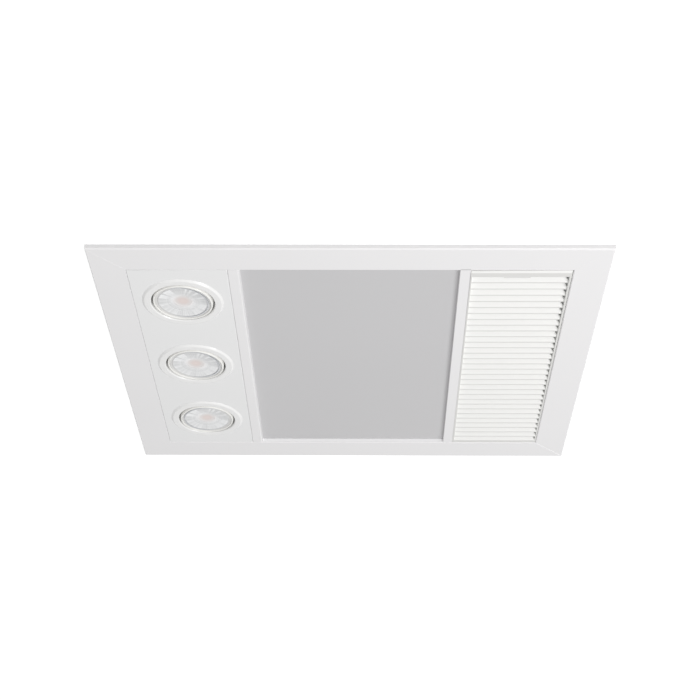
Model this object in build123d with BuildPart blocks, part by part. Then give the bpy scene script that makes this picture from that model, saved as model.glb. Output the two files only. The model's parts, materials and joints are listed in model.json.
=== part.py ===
"""Ceiling bathroom heater with light, radiant heat and exhaust, in millimetres.

The ceiling plane is z = 0. The white fascia hangs below it, the steel housing stands above it.
X runs along the fascia, from the downlights to the air grille, and Y away from the viewer's side.
The origin is the centre of the four ceiling screws, on the ceiling plane.
"""

import os
from math import atan2, cos, degrees, radians, sin, sqrt

from build123d import *

# Fascia, seen from the room
fascia_length = 555.0
fascia_width = 470.0
fascia_depth = 6.0
fascia_wall = 2.0
border_side = 38.0
border_end = 37.0
edge_radius = 1.2
mitre_groove = 0.3
side_width = 109.2
divider_width = 11.8
return_wall = 3.0
glass_recess = 4.6
panel_gap = 0.5
panel_edge_chamfer = 0.35
tongue_length = 3.0
tongue_width = 14.0
tongue_thickness = 1.4

# Spring clips that snap the fascia into the housing
clip_width = 16.0
clip_sheet = 0.8
clip_height = 26.0
clip_bump = 1.4
clip_bump_height = 12.0
clip_bump_rise = 3.0
clip_slot_gap = 0.4
clip_boss_radius = 1.0

# Heater window
gasket_thickness = 0.8
gasket_inset = 0.5
glass_thickness = 4.0
glass_overlap = 4.0
glass_end_overlap = 3.0
glass_chamfer = 0.4

# Downlights
lamp_count = 3
lamp_end_margin = 18.6
lamp_tilt_at_rest = (4.0, 4.0, -2.5)
trim_outer_radius = 45.0
trim_width = 9.7
trim_flange = 2.0
trim_edge_radius = 1.4
trim_bore_chamfer = 0.6
panel_hole_gap = 0.3
collar_wall = 2.4
collar_height = 9.0
gimbal_gap = 1.4
gimbal_wall = 4.5
gimbal_pivot_above_face = 5.0
gimbal_front_below_pivot = 6.6
gimbal_back_above_pivot = 6.0
pivot_pin_radius = 1.2
pivot_pin_clearance = 0.06
pivot_pin_inset = 1.6
lens_thickness = 1.6
lens_recess = 0.8
lens_chamfer = 0.3
reflector_depth = 17.0
reflector_wall = 0.8
led_radius = 8.5
led_dome_radius = 7.0
led_dome_height = 0.6
led_disc_margin = 4.0
led_thickness = 1.6
cup_seat_gap = 0.05
heatsink_gap = 0.4
heatsink_wall = 1.1
heatsink_skirt = 12.0
heatsink_taper = 8.0
heatsink_height = 40.0
fin_count = 18
fin_slot = 2.4
fin_depth = 6.0
fin_height = 18.0
spring_width = 9.0
spring_thickness = 0.8
spring_rise = 2.0
spring_tip = 1.0
spring_foot_gap = 0.6

# Air grille
grille_gap = 0.9
grille_skew = 0.18
grille_left_rail = 1.6
grille_right_rail = 2.2
grille_near_border = 13.4
grille_far_border = 3.6
grille_face_above_fascia = 0.6
grille_edge_chamfer = 0.5
grille_height = 8.6
slat_pitch_aim = 12.2
slat_far_overlap = 1.0
slat_thickness = 1.2
slat_reach = 9.6
slat_root = 2.4
slat_end_gap = 3.4
slat_cut_margin = 0.5
tab_width = 29.0
tab_slot = 1.4
tab_depth = 3.0
hinge_pin_radius = 1.0
hinge_pin_clearance = 0.05
hinge_pin_reach = 3.0
hinge_pin_end_gap = 0.4
hinge_pin_inside = 6.0
roof_entry_radius = 9.0

# Housing and its ceiling flange
housing_inset_x = 32.5
housing_inset_y = 29.0
housing_height = 200.0
sheet = 0.8
flange_width = 18.0
flange_corner_radius = 4.0
screw_hole_radius = 3.4
screw_end_inset = 56.0
screw_inset = 9.0
partition_gap = 0.6
partition_lip = 12.0
vent_count = 9
vent_length = 34.0
vent_width = 4.0
vent_pitch = 11.0
vent_below_roof = 79.2

# Duct spigot and shutter
spigot_radius = 49.0
spigot_wall = 1.6
spigot_length = 48.0
spigot_lip = 7.0
spigot_below_roof = 2.0
shutter_gap = 2.2
shutter_thickness = 1.0
shutter_pin_radius = 1.5
shutter_pin_clearance = 0.06
shutter_pin_end_gap = 0.3
shutter_barrel_radius = 2.8
shutter_pin_above_axis = 9.0
shutter_from_wall = 34.0
shutter_stop_width = 10.0
shutter_stop_height = 4.5
shutter_stop_gap = 0.3

# Blower
fan_to_wall = 161.2
scroll_below_roof = 10.2
impeller_radius = 60.0
blade_depth = 10.0
impeller_left_gap = 4.5
impeller_right_gap = 6.3
impeller_plate = 1.5
impeller_ring_width = 3.0
blade_count = 32
blade_thickness = 0.9
blade_sweep = 6.0
blade_bulge = 1.6
blade_root = 0.6
scroll_running_gap = 7.0
scroll_growth = 23.0
scroll_steps = 9
scroll_wall = 1.6
scroll_width = 60.0
scroll_tongue = 4.0
scroll_flange = 7.0
inlet_overlap = 4.0
inlet_lip = 5.0
shaft_radius = 3.0
shaft_in_motor = 12.0
shaft_clearance = 0.05
hub_radius = 9.0
hub_length = 16.0
motor_radius = 34.0
motor_length = 32.0
motor_edge_radius = 4.0
motor_plate_thickness = 2.0
motor_plate_margin = 7.0
motor_hole_gap = 4.0
motor_end_gap = 4.3
motor_boss_radius = 7.0
motor_boss_gap = 1.0
motor_bolt_inset = 7.0
motor_bolt_count = 3
motor_bolt_radius = 2.0
motor_bolt_head_radius = 4.0
motor_bolt_head = 2.6
motor_bolt_tail = 3.0

# Heater cassette
tube_count = 3
reflector_margin = 9.1
trough_land = 6.0
trough_mouth_z = 14.0
reflector_sheet = 0.8
reflector_end_gap = 29.2
reflector_lip = 14.0
tube_height_in_trough = 16.0
tube_radius = 6.0
tube_wall = 1.0
tube_past_reflector = 6.0
filament_radius = 2.0
cap_size = 17.0
cap_length = 24.0
cap_gap = 0.1
cap_outside_bracket = 8.0
bracket_sheet = 1.0
bracket_side_gap = 7.1
bracket_top_margin = 26.0
bracket_foot = 12.0
cutout_radius = 7.5
cutout_height = 9.0
cutout_cap_radius = 6.0
cutout_cap_height = 1.4

# Electrical
terminal_box_size = (120.0, 84.0, 40.0)
terminal_box_wall = 2.0
terminal_box_from_side = 95.0
terminal_box_from_far = 126.0
terminal_cover_thickness = 2.0
terminal_cover_margin = 1.5
terminal_block_size = (76.0, 18.0, 16.0)
terminal_ways = 7
terminal_well_radius = 2.6
terminal_well_depth = 6.0
cover_boss_radius = 4.0
cover_screw_radius = 1.5
cover_screw_head_radius = 3.0
cover_screw_head = 1.8
cover_screw_length = 10.0
gland_bore_radius = 4.5
gland_wall = 5.3
gland_hole_gap = 0.1
gland_flange = 7.0
gland_body_margin = 2.7
gland_dome_inset = 2.0
gland_length = 21.0
gland_nut_width = 5.0
driver_size = (26.0, 78.0, 30.0)
driver_gap = 32.0
driver_below_roof = 89.2
driver_edge = 2.0
capacitor_size = (18.0, 48.0, 34.0)
capacitor_from_near = 95.2
capacitor_below_roof = 79.2

# Screws
screw_radius = 2.1
screw_length = 30.0
screw_head_radius = 5.0
screw_head = 2.4
screw_slot = 1.0

# Places that follow from the sizes above
face_z = -fascia_depth
window_top = face_z + glass_recess
opening_length = fascia_length - 2 * border_side
opening_width = fascia_width - 2 * border_end
window_width = opening_length - 2 * (side_width + divider_width)
divider_x = window_width / 2 + divider_width / 2
side_x = opening_length / 2 - side_width / 2
housing_length = fascia_length - 2 * housing_inset_x
housing_width = fascia_width - 2 * housing_inset_y
inner_half_x = housing_length / 2 - sheet
inner_half_y = housing_width / 2 - sheet
roof_z = housing_height - sheet
hinge_y = opening_width / 2 - grille_gap - grille_far_border / 2
hinge_z = (face_z + window_top) / 2
clip_foot_inner = opening_width / 2 + return_wall + panel_gap
clip_leg_y = housing_width / 2 - sheet - clip_slot_gap
clip_foot_y = (clip_foot_inner + clip_leg_y - clip_sheet) / 2
trim_bore_radius = trim_outer_radius - trim_width
gimbal_radius = trim_bore_radius - gimbal_gap
gimbal_bore_radius = gimbal_radius - gimbal_wall
pivot_pin_inner = gimbal_bore_radius + pivot_pin_inset
heatsink_radius = gimbal_bore_radius - heatsink_gap
heatsink_top_radius = heatsink_radius - heatsink_taper
lens_radius = heatsink_radius - heatsink_wall
lamp_pitch = (opening_width - 2 * lamp_end_margin - 2 * trim_outer_radius) / (lamp_count - 1)
lamp_ys = [lamp_pitch * (i - (lamp_count - 1) / 2) for i in range(lamp_count)]
pivot_z = face_z + gimbal_pivot_above_face
gasket_top = window_top + gasket_thickness
glass_length = window_width + 2 * glass_overlap
glass_width = opening_width + 2 * glass_end_overlap
partition_x = glass_length / 2 + partition_gap + sheet / 2
bay_left = partition_x + sheet / 2
reflector_edge = partition_x - sheet / 2
reflector_half_length = inner_half_y - reflector_end_gap
trough_pitch = 2 * (reflector_edge - reflector_margin) / tube_count
trough_radius = (trough_pitch - trough_land) / 2
tube_half_length = reflector_half_length + tube_past_reflector
bracket_half_width = reflector_edge - bracket_side_gap
impeller_inner_radius = impeller_radius - blade_depth
impeller_width = scroll_width - 2 * scroll_wall - impeller_left_gap - impeller_right_gap
inlet_radius = impeller_inner_radius - inlet_overlap
scroll_start_radius = impeller_radius + scroll_running_gap
scroll_x1 = inner_half_x - motor_end_gap - motor_length - motor_plate_thickness
scroll_x0 = scroll_x1 - scroll_width
fan_y = inner_half_y - fan_to_wall
fan_z = roof_z - scroll_below_roof - scroll_growth - scroll_start_radius
motor_plate_bore = motor_boss_radius + motor_boss_gap
motor_hole_radius = motor_radius + motor_hole_gap
motor_bolt_circle = motor_hole_radius + motor_bolt_inset
motor_plate_radius = motor_bolt_circle + motor_plate_margin
spigot_flange_radius = spigot_radius + spigot_lip
duct_z = roof_z - spigot_flange_radius - spigot_below_roof
duct_x = (scroll_x0 + scroll_x1) / 2
terminal_box_x = terminal_box_from_side - housing_length / 2
terminal_box_y = housing_width / 2 - terminal_box_from_far
gland_thread_radius = gland_bore_radius + gland_wall
gland_body_radius = gland_thread_radius + gland_body_margin
gland_dome_radius = gland_body_radius - gland_dome_inset

os.makedirs("parts", exist_ok=True)
written = []


def save(builder, name):
    """Label a finished piece and write it as its own STEP file."""
    builder.part.label = name
    export_step(builder.part, f"parts/{name}.step")
    written.append(name)


# Fascia: a shallow moulded surround with a plain face, mitre lines and an inner return
with BuildPart() as fascia_frame:
    with BuildSketch(Plane.XY.offset(face_z)):
        RectangleRounded(fascia_length, fascia_width, edge_radius)
    extrude(amount=fascia_depth)
    chamfer(fascia_frame.faces().sort_by(Axis.Z)[0].edges(), edge_radius / 2)
    with BuildSketch(Plane.XY.offset(face_z + fascia_wall)):
        Rectangle(fascia_length - 2 * fascia_wall, fascia_width - 2 * fascia_wall)
        Rectangle(
            opening_length + 2 * return_wall, opening_width + 2 * return_wall, mode=Mode.SUBTRACT
        )
    extrude(amount=fascia_depth, mode=Mode.SUBTRACT)
    with BuildSketch(Plane.XY.offset(window_top)):
        Rectangle(opening_length + 3 * return_wall, opening_width + 3 * return_wall)
    extrude(amount=fascia_depth, mode=Mode.SUBTRACT)
    with BuildSketch(Plane.XY.offset(face_z)):
        Rectangle(opening_length, opening_width)
    extrude(amount=fascia_depth, mode=Mode.SUBTRACT)
    corner_x = (fascia_length + opening_length) / 4
    corner_y = (fascia_width + opening_width) / 4
    mitre_length = sqrt(border_side**2 + border_end**2) - 2 * edge_radius
    mitre_turn = degrees(atan2(border_end, border_side))
    with BuildSketch(Plane.XY.offset(face_z)):
        with Locations((corner_x, corner_y), (-corner_x, -corner_y)):
            Rectangle(mitre_length, mitre_groove, rotation=mitre_turn)
        with Locations((corner_x, -corner_y), (-corner_x, corner_y)):
            Rectangle(mitre_length, mitre_groove, rotation=-mitre_turn)
    extrude(amount=mitre_groove, mode=Mode.SUBTRACT)
    with BuildSketch(Plane.XY.offset(face_z + fascia_wall)):
        for x_sign in (-1, 1):
            for y_sign in (-1, 1):
                with Locations((x_sign * side_x, y_sign * clip_foot_y)):
                    Circle(clip_boss_radius)
    extrude(amount=clip_sheet)
    with BuildSketch(Plane.YZ.offset(opening_length / 2)):
        with Locations((hinge_y, hinge_z)):
            Circle(hinge_pin_radius + hinge_pin_clearance)
    extrude(amount=return_wall, mode=Mode.SUBTRACT)
save(fascia_frame, "fascia_frame")

# Fascia clips: spring leaves riveted behind the fascia, whose bumps snap into the housing walls
with BuildPart() as fascia_clips:
    for y_sign in (-1, 1):
        foot_z = face_z + fascia_wall
        bump_z = clip_bump_height
        side = Plane(
            origin=(side_x - y_sign * clip_width / 2, 0, 0),
            x_dir=(0, y_sign, 0),
            z_dir=(y_sign, 0, 0),
        )
        for x_shift in (0, -2 * side_x):
            with BuildSketch(Plane(side.location * Pos(0, 0, y_sign * x_shift))):
                with BuildLine():
                    Polyline(
                        (clip_foot_inner, foot_z),
                        (clip_leg_y, foot_z),
                        (clip_leg_y, bump_z - clip_bump_rise),
                        (clip_leg_y + clip_bump, bump_z),
                        (clip_leg_y, bump_z + clip_bump_rise),
                        (clip_leg_y, foot_z + clip_height),
                        (clip_leg_y - clip_sheet, foot_z + clip_height),
                        (clip_leg_y - clip_sheet, bump_z + clip_bump_rise),
                        (clip_leg_y + clip_bump - clip_sheet, bump_z),
                        (clip_leg_y - clip_sheet, bump_z - clip_bump_rise),
                        (clip_leg_y - clip_sheet, foot_z + clip_sheet),
                        (clip_foot_inner, foot_z + clip_sheet),
                        close=True,
                    )
                make_face()
            extrude(amount=clip_width)
    with BuildSketch(Plane.XY.offset(foot_z)):
        for x_sign in (-1, 1):
            for y_sign in (-1, 1):
                with Locations((x_sign * side_x, y_sign * clip_foot_y)):
                    Circle(clip_boss_radius)
    extrude(amount=clip_sheet, mode=Mode.SUBTRACT)
save(fascia_clips, "fascia_clips")


def divider(sign):
    """One bar between the window and a side bay, with tongues that lie on the fascia's return."""
    bar_height = window_top - face_z
    with BuildPart() as bar:
        with BuildSketch(Plane.XY.offset(face_z)):
            with Locations((sign * divider_x, 0)):
                Rectangle(divider_width, opening_width - panel_gap)
        extrude(amount=bar_height)
        chamfer(bar.edges().group_by(Axis.Z)[0].filter_by(Axis.Y), panel_edge_chamfer)
        tongue_inset = glass_overlap + gasket_thickness
        tongue = divider_width - tongue_inset
        tongue_x = sign * (window_width / 2 + tongue_inset + tongue / 2)
        with BuildSketch(Plane.XY.offset(window_top)):
            with Locations((tongue_x, 0)):
                Rectangle(tongue, opening_width + 2 * tongue_length)
                Rectangle(tongue, opening_width - 4 * tongue_length, mode=Mode.SUBTRACT)
        extrude(amount=tongue_thickness)
        if sign > 0:
            edge = Plane.YZ.offset(divider_x + divider_width / 2)
            with BuildSketch(edge):
                with Locations((hinge_y, hinge_z)):
                    Circle(hinge_pin_radius + hinge_pin_clearance)
            extrude(amount=-hinge_pin_reach, mode=Mode.SUBTRACT)
    return bar


save(divider(-1), "left_divider")
save(divider(1), "right_divider")

# Light panel: the plain plate that carries the downlights
light_panel_width = side_width - 2 * panel_gap
light_panel_length = opening_width - 2 * panel_gap
with BuildPart() as light_panel:
    with BuildSketch(Plane.XY.offset(face_z)):
        with Locations((-side_x, 0)):
            Rectangle(light_panel_width, light_panel_length)
    extrude(amount=glass_recess)
    chamfer(light_panel.edges().group_by(Axis.Z)[0], panel_edge_chamfer)
    with BuildSketch(Plane.XY.offset(face_z + fascia_wall)):
        with Locations((-side_x, 0)):
            Rectangle(light_panel_width - 2 * fascia_wall, light_panel_length - 2 * fascia_wall)
    extrude(amount=glass_recess, mode=Mode.SUBTRACT)
    with BuildSketch(Plane.XY.offset(window_top)):
        for y_sign in (-1, 1):
            tongue_y = y_sign * (opening_width + tongue_length - fascia_wall) / 2
            with Locations((-side_x - side_width / 4, tongue_y), (-side_x + side_width / 4, tongue_y)):
                Rectangle(tongue_width, tongue_length + fascia_wall)
    extrude(amount=tongue_thickness)
    with BuildSketch(Plane.XY.offset(face_z)):
        with Locations(*[(-side_x, y) for y in lamp_ys]):
            Circle(trim_bore_radius + collar_wall + panel_hole_gap)
    extrude(amount=glass_recess, mode=Mode.SUBTRACT)
save(light_panel, "light_panel")

# Heater window: silicone gasket and the grey glass that lies on it
with BuildPart() as glass_gasket:
    with BuildSketch(Plane.XY.offset(window_top)):
        Rectangle(glass_length, glass_width)
        Rectangle(
            window_width + 2 * gasket_inset, opening_width + 2 * gasket_inset, mode=Mode.SUBTRACT
        )
    extrude(amount=gasket_thickness)
save(glass_gasket, "glass_gasket")

with BuildPart() as heater_glass:
    with BuildSketch(Plane.XY.offset(gasket_top)):
        Rectangle(glass_length, glass_width)
    extrude(amount=glass_thickness)
    chamfer(heater_glass.edges(), glass_chamfer)
save(heater_glass, "heater_glass")


def lamp_plane(index):
    """The tilting frame of one lamp, with its pivot at the plane's origin and Z up the lamp."""
    tilt = Rotation(0, lamp_tilt_at_rest[index], 0)
    return Plane(Location((-side_x, lamp_ys[index], pivot_z)) * tilt)


def trim_ring(y):
    """The fixed ring of a downlight: a rounded flange below the panel and a collar through it."""
    with BuildPart() as ring:
        with BuildSketch(Plane(origin=(-side_x, y, 0), x_dir=(1, 0, 0), z_dir=(0, -1, 0))):
            with BuildLine():
                flange_z = face_z - trim_flange
                collar_radius = trim_bore_radius + collar_wall
                Polyline(
                    (trim_bore_radius, flange_z + trim_bore_chamfer),
                    (trim_bore_radius + trim_bore_chamfer, flange_z),
                    (trim_outer_radius, flange_z),
                    (trim_outer_radius, face_z),
                    (collar_radius, face_z),
                    (collar_radius, face_z + collar_height),
                    (trim_bore_radius, face_z + collar_height),
                    close=True,
                )
            make_face()
        revolve(axis=Axis((-side_x, y, 0), (0, 0, 1)))
        fillet(
            ring.edges().filter_by(GeomType.CIRCLE).group_by(SortBy.RADIUS)[-1].sort_by(Axis.Z)[0],
            trim_edge_radius,
        )
        pivot_holes = Plane(origin=(-side_x, y, pivot_z), z_dir=(0, 1, 0))
        with Locations(pivot_holes):
            Cylinder(pivot_pin_radius, 2 * trim_outer_radius, mode=Mode.SUBTRACT)
    return ring


def gimbal_ring(index):
    """The tilting ring that grips the lamp: a slice of a ball with a straight bore."""
    with BuildPart() as ring:
        with Locations(lamp_plane(index)):
            Sphere(gimbal_radius)
            with Locations((0, 0, gimbal_back_above_pivot + gimbal_radius)):
                Box(3 * gimbal_radius, 3 * gimbal_radius, 2 * gimbal_radius, mode=Mode.SUBTRACT)
            with Locations((0, 0, -gimbal_front_below_pivot - gimbal_radius)):
                Box(3 * gimbal_radius, 3 * gimbal_radius, 2 * gimbal_radius, mode=Mode.SUBTRACT)
            Cylinder(gimbal_bore_radius, 2 * gimbal_radius, mode=Mode.SUBTRACT)
            Cylinder(
                pivot_pin_radius + pivot_pin_clearance,
                3 * gimbal_radius,
                rotation=(90, 0, 0),
                mode=Mode.SUBTRACT,
            )
    return ring


def lamp_lens(index):
    """The clear front of the lamp, a thin dished disc."""
    back = -gimbal_front_below_pivot + lens_recess + lens_thickness
    with BuildPart() as lens:
        with Locations(lamp_plane(index)):
            with Locations((0, 0, back - lens_thickness / 2)):
                Cylinder(lens_radius, lens_thickness)
        chamfer(lens.edges().filter_by(GeomType.CIRCLE), lens_chamfer)
    return lens


def lamp_reflector(index):
    """The bright cone behind the lens, open at both ends."""
    front = -gimbal_front_below_pivot + lens_recess + lens_thickness
    with BuildPart() as cone:
        with Locations(lamp_plane(index)):
            with Locations((0, 0, front + reflector_depth / 2)):
                Cone(lens_radius, led_radius + reflector_wall, reflector_depth)
                Cone(
                    lens_radius - reflector_wall, led_radius, reflector_depth, mode=Mode.SUBTRACT
                )
    return cone


def led_chip(index):
    """The round light source on its ceramic disc, at the small end of the reflector."""
    seat = -gimbal_front_below_pivot + lens_recess + lens_thickness + reflector_depth
    with BuildPart() as chip:
        with Locations(lamp_plane(index)):
            with Locations((0, 0, seat + led_thickness / 2)):
                Cylinder(led_radius + led_disc_margin, led_thickness)
            with Locations((0, 0, seat - led_dome_height / 2)):
                Cylinder(led_dome_radius, led_dome_height)
    return chip


def lamp_heatsink(index):
    """The lamp's cup: it seats in the gimbal, holds lens, reflector and chip, and is finned above."""
    front = -gimbal_front_below_pivot + lens_recess
    seat = front + lens_thickness + reflector_depth + led_thickness
    cone_mouth = lens_radius + cup_seat_gap
    cone_length = heatsink_height - heatsink_skirt
    with BuildPart() as cup:
        with Locations(lamp_plane(index)):
            with Locations((0, 0, front + heatsink_skirt / 2)):
                Cylinder(heatsink_radius, heatsink_skirt)
            with Locations((0, 0, front + heatsink_skirt + cone_length / 2)):
                Cone(heatsink_radius, heatsink_top_radius, cone_length)
            with Locations((0, 0, front + lens_thickness / 2)):
                Cylinder(cone_mouth, lens_thickness, mode=Mode.SUBTRACT)
            with Locations((0, 0, front + lens_thickness + reflector_depth / 2)):
                Cone(
                    cone_mouth,
                    led_radius + reflector_wall + cup_seat_gap,
                    reflector_depth,
                    mode=Mode.SUBTRACT,
                )
            with Locations((0, 0, seat - led_thickness / 2)):
                Cylinder(
                    led_radius + led_disc_margin + cup_seat_gap, led_thickness, mode=Mode.SUBTRACT
                )
            with Locations((0, 0, front + heatsink_height - fin_height / 2)):
                with PolarLocations(heatsink_radius, fin_count):
                    Box(
                        2 * (heatsink_radius - heatsink_top_radius + fin_depth),
                        fin_slot,
                        fin_height,
                        mode=Mode.SUBTRACT,
                    )
    return cup


for lamp_index, lamp_y in enumerate(lamp_ys):
    number = lamp_index + 1
    save(trim_ring(lamp_y), f"trim_ring_{number}")
    save(gimbal_ring(lamp_index), f"gimbal_ring_{number}")
    save(lamp_lens(lamp_index), f"lamp_lens_{number}")
    save(lamp_reflector(lamp_index), f"lamp_reflector_{number}")
    save(led_chip(lamp_index), f"led_chip_{number}")
    save(lamp_heatsink(lamp_index), f"lamp_heatsink_{number}")

# Pivot pins: two for each gimbal, pressed through the collar
with BuildPart() as gimbal_pivots:
    for lamp_y in lamp_ys:
        for y_sign in (-1, 1):
            pin_length = trim_bore_radius + collar_wall - pivot_pin_inner
            pin_y = lamp_y + y_sign * (pivot_pin_inner + pin_length / 2)
            with Locations(Plane(origin=(-side_x, pin_y, pivot_z), z_dir=(0, 1, 0))):
                Cylinder(pivot_pin_radius, pin_length)
save(gimbal_pivots, "gimbal_pivots")

# Spring clips: two leaves for each trim ring, which press on the back of the light panel
with BuildPart() as lamp_springs:
    for lamp_y in lamp_ys:
        for x_sign in (-1, 1):
            root_x = trim_bore_radius + collar_wall
            tip_x = side_width / 2 - panel_gap - fascia_wall - spring_tip
            collar_top = face_z + collar_height
            panel_back = face_z + fascia_wall
            leaf = Plane(
                origin=(-side_x, lamp_y + x_sign * spring_width / 2, 0),
                x_dir=(x_sign, 0, 0),
                z_dir=(0, -x_sign, 0),
            )
            with BuildSketch(leaf):
                with BuildLine():
                    Polyline(
                        (root_x, panel_back + spring_foot_gap),
                        (root_x, collar_top + spring_rise),
                        (root_x + spring_thickness, collar_top + spring_rise),
                        (tip_x, panel_back + spring_thickness),
                        (tip_x, panel_back),
                        (tip_x - spring_tip, panel_back),
                        (root_x + spring_thickness, collar_top),
                        (root_x + spring_thickness, panel_back + spring_foot_gap),
                        close=True,
                    )
                make_face()
            extrude(amount=spring_width)
save(lamp_springs, "lamp_springs")

# Air grille: one moulding of slanted slats in a frame, hinged at its far end, a touch askew
grille_width = side_width - 2 * grille_gap
grille_length = opening_width - 2 * grille_gap
grille_z0 = face_z + grille_face_above_fascia
slat_left = -grille_width / 2 + grille_left_rail
slat_right = grille_width / 2 - grille_right_rail
slat_start = -grille_length / 2 + grille_near_border
slat_run = grille_length - grille_near_border - grille_far_border + slat_far_overlap
slat_count = round(slat_run / slat_pitch_aim)
slat_pitch = slat_run / slat_count
slat_ys = [slat_start + slat_pitch * (slat + 1) for slat in range(slat_count)]
skew = radians(grille_skew)
grille_plane = Plane(origin=(side_x, 0, grille_z0), x_dir=(cos(skew), -sin(skew), 0))
slat_plane = Plane(
    origin=grille_plane.from_local_coords((slat_left, 0, 0)),
    x_dir=grille_plane.y_dir,
    z_dir=grille_plane.x_dir,
)
with BuildPart() as air_grille:
    with BuildSketch(grille_plane):
        Rectangle(grille_width, grille_length)
        with Locations(((slat_left + slat_right) / 2, (grille_near_border - grille_far_border) / 2)):
            Rectangle(
                slat_right - slat_left,
                grille_length - grille_near_border - grille_far_border,
                mode=Mode.SUBTRACT,
            )
    extrude(amount=grille_height)
    chamfer(air_grille.faces().sort_by(Axis.Z)[0].outer_wire().edges(), grille_edge_chamfer)
    with BuildSketch(slat_plane):
        for lip_y in slat_ys:
            with BuildLine():
                Polyline(
                    (lip_y, 0),
                    (lip_y, slat_thickness),
                    (lip_y - slat_reach, grille_height),
                    (lip_y - slat_reach - slat_thickness, grille_height),
                    (lip_y - slat_thickness, 0),
                    close=True,
                )
            make_face()
    extrude(amount=slat_right - slat_left)
    with BuildSketch(grille_plane):
        for lip_y in slat_ys:
            back_y = lip_y - slat_reach - slat_thickness - slat_cut_margin
            with BuildLine():
                Polyline(
                    (slat_right, lip_y - slat_root),
                    (slat_right - slat_end_gap, lip_y - slat_root - slat_end_gap),
                    (slat_right - slat_end_gap, back_y),
                    (slat_right, back_y),
                    close=True,
                )
            make_face()
    extrude(amount=grille_height, mode=Mode.SUBTRACT)
    with BuildSketch(grille_plane):
        with Locations((0, slat_start - tab_slot)):
            Rectangle(tab_width, tab_slot)
    extrude(amount=tab_depth, mode=Mode.SUBTRACT)
    for wall_x, inward in ((side_x - side_width / 2, 1), (side_x + side_width / 2, -1)):
        with BuildSketch(Plane.YZ.offset(wall_x)):
            with Locations((hinge_y, hinge_z)):
                Circle(hinge_pin_radius)
        extrude(amount=inward * hinge_pin_inside, mode=Mode.SUBTRACT)
save(air_grille, "air_grille")

with BuildPart() as grille_hinge_pins:
    for wall_x, inward in ((side_x - side_width / 2, 1), (side_x + side_width / 2, -1)):
        with BuildSketch(Plane.YZ.offset(wall_x)):
            with Locations((hinge_y, hinge_z)):
                Circle(hinge_pin_radius)
        extrude(amount=inward * hinge_pin_inside)
        with BuildSketch(Plane.YZ.offset(wall_x)):
            with Locations((hinge_y, hinge_z)):
                Circle(hinge_pin_radius)
        extrude(amount=-inward * (hinge_pin_reach - hinge_pin_end_gap))
save(grille_hinge_pins, "grille_hinge_pins")

# Mounting flange: a flat steel frame against the ceiling, with the four screw holes
flange_length = housing_length + 2 * flange_width
flange_breadth = housing_width + 2 * flange_width
screw_x = housing_length / 2 + screw_inset
screw_y = housing_width / 2 - screw_end_inset
with BuildPart() as mounting_flange:
    with BuildSketch(Plane.XY.offset(-sheet)):
        RectangleRounded(flange_length, flange_breadth, flange_corner_radius)
        Rectangle(housing_length, housing_width, mode=Mode.SUBTRACT)
        with Locations(*[(i * screw_x, j * screw_y) for i in (-1, 1) for j in (-1, 1)]):
            Circle(screw_hole_radius, mode=Mode.SUBTRACT)
    extrude(amount=sheet)
save(mounting_flange, "mounting_flange")

# Housing: a steel box open below, whose walls stand inside the mounting flange
clip_slot_height = 2 * clip_bump_rise + 2 * clip_slot_gap
with BuildPart() as housing:
    with BuildSketch(Plane.XY.offset(-sheet)):
        Rectangle(housing_length, housing_width)
        Rectangle(2 * inner_half_x, 2 * inner_half_y, mode=Mode.SUBTRACT)
    extrude(amount=housing_height)
    with BuildSketch(Plane.XY.offset(roof_z)):
        Rectangle(housing_length, housing_width)
    extrude(amount=sheet)
    with BuildSketch(Plane.XZ.offset(-housing_width / 2)):
        with Locations((duct_x, duct_z)):
            Circle(spigot_radius - spigot_wall)
    extrude(amount=2 * sheet, both=True, mode=Mode.SUBTRACT)
    with BuildSketch(Plane.XZ):
        with Locations((side_x, clip_bump_height), (-side_x, clip_bump_height)):
            Rectangle(clip_width + 2 * clip_slot_gap, clip_slot_height)
    extrude(amount=housing_width, both=True, mode=Mode.SUBTRACT)
    with BuildSketch(Plane.YZ.offset(-housing_length / 2)):
        with Locations((0, roof_z - vent_below_roof)):
            with GridLocations(vent_pitch, 0, vent_count, 1):
                SlotOverall(vent_length, vent_width, rotation=90)
    extrude(amount=2 * sheet, both=True, mode=Mode.SUBTRACT)
    with BuildSketch(Plane.XY.offset(roof_z)):
        with Locations((terminal_box_x, terminal_box_y)):
            Circle(roof_entry_radius)
    extrude(amount=sheet, mode=Mode.SUBTRACT)
save(housing, "housing")


def partition(sign):
    """A wall between two bays, with lips folded against the housing's walls and roof."""
    with BuildPart() as wall:
        with BuildSketch():
            with Locations((sign * partition_x, 0)):
                Rectangle(sheet, 2 * inner_half_y)
            lip_x = sign * (partition_x + (partition_lip + sheet) / 2)
            lip_y = inner_half_y - sheet / 2
            with Locations((lip_x, lip_y), (lip_x, -lip_y)):
                Rectangle(partition_lip, sheet)
        extrude(amount=roof_z)
        with BuildSketch(Plane.XY.offset(roof_z - sheet)):
            with Locations((lip_x, 0)):
                Rectangle(partition_lip, 2 * inner_half_y)
        extrude(amount=sheet)
    return wall


save(partition(-1), "left_partition")
save(partition(1), "right_partition")

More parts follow.
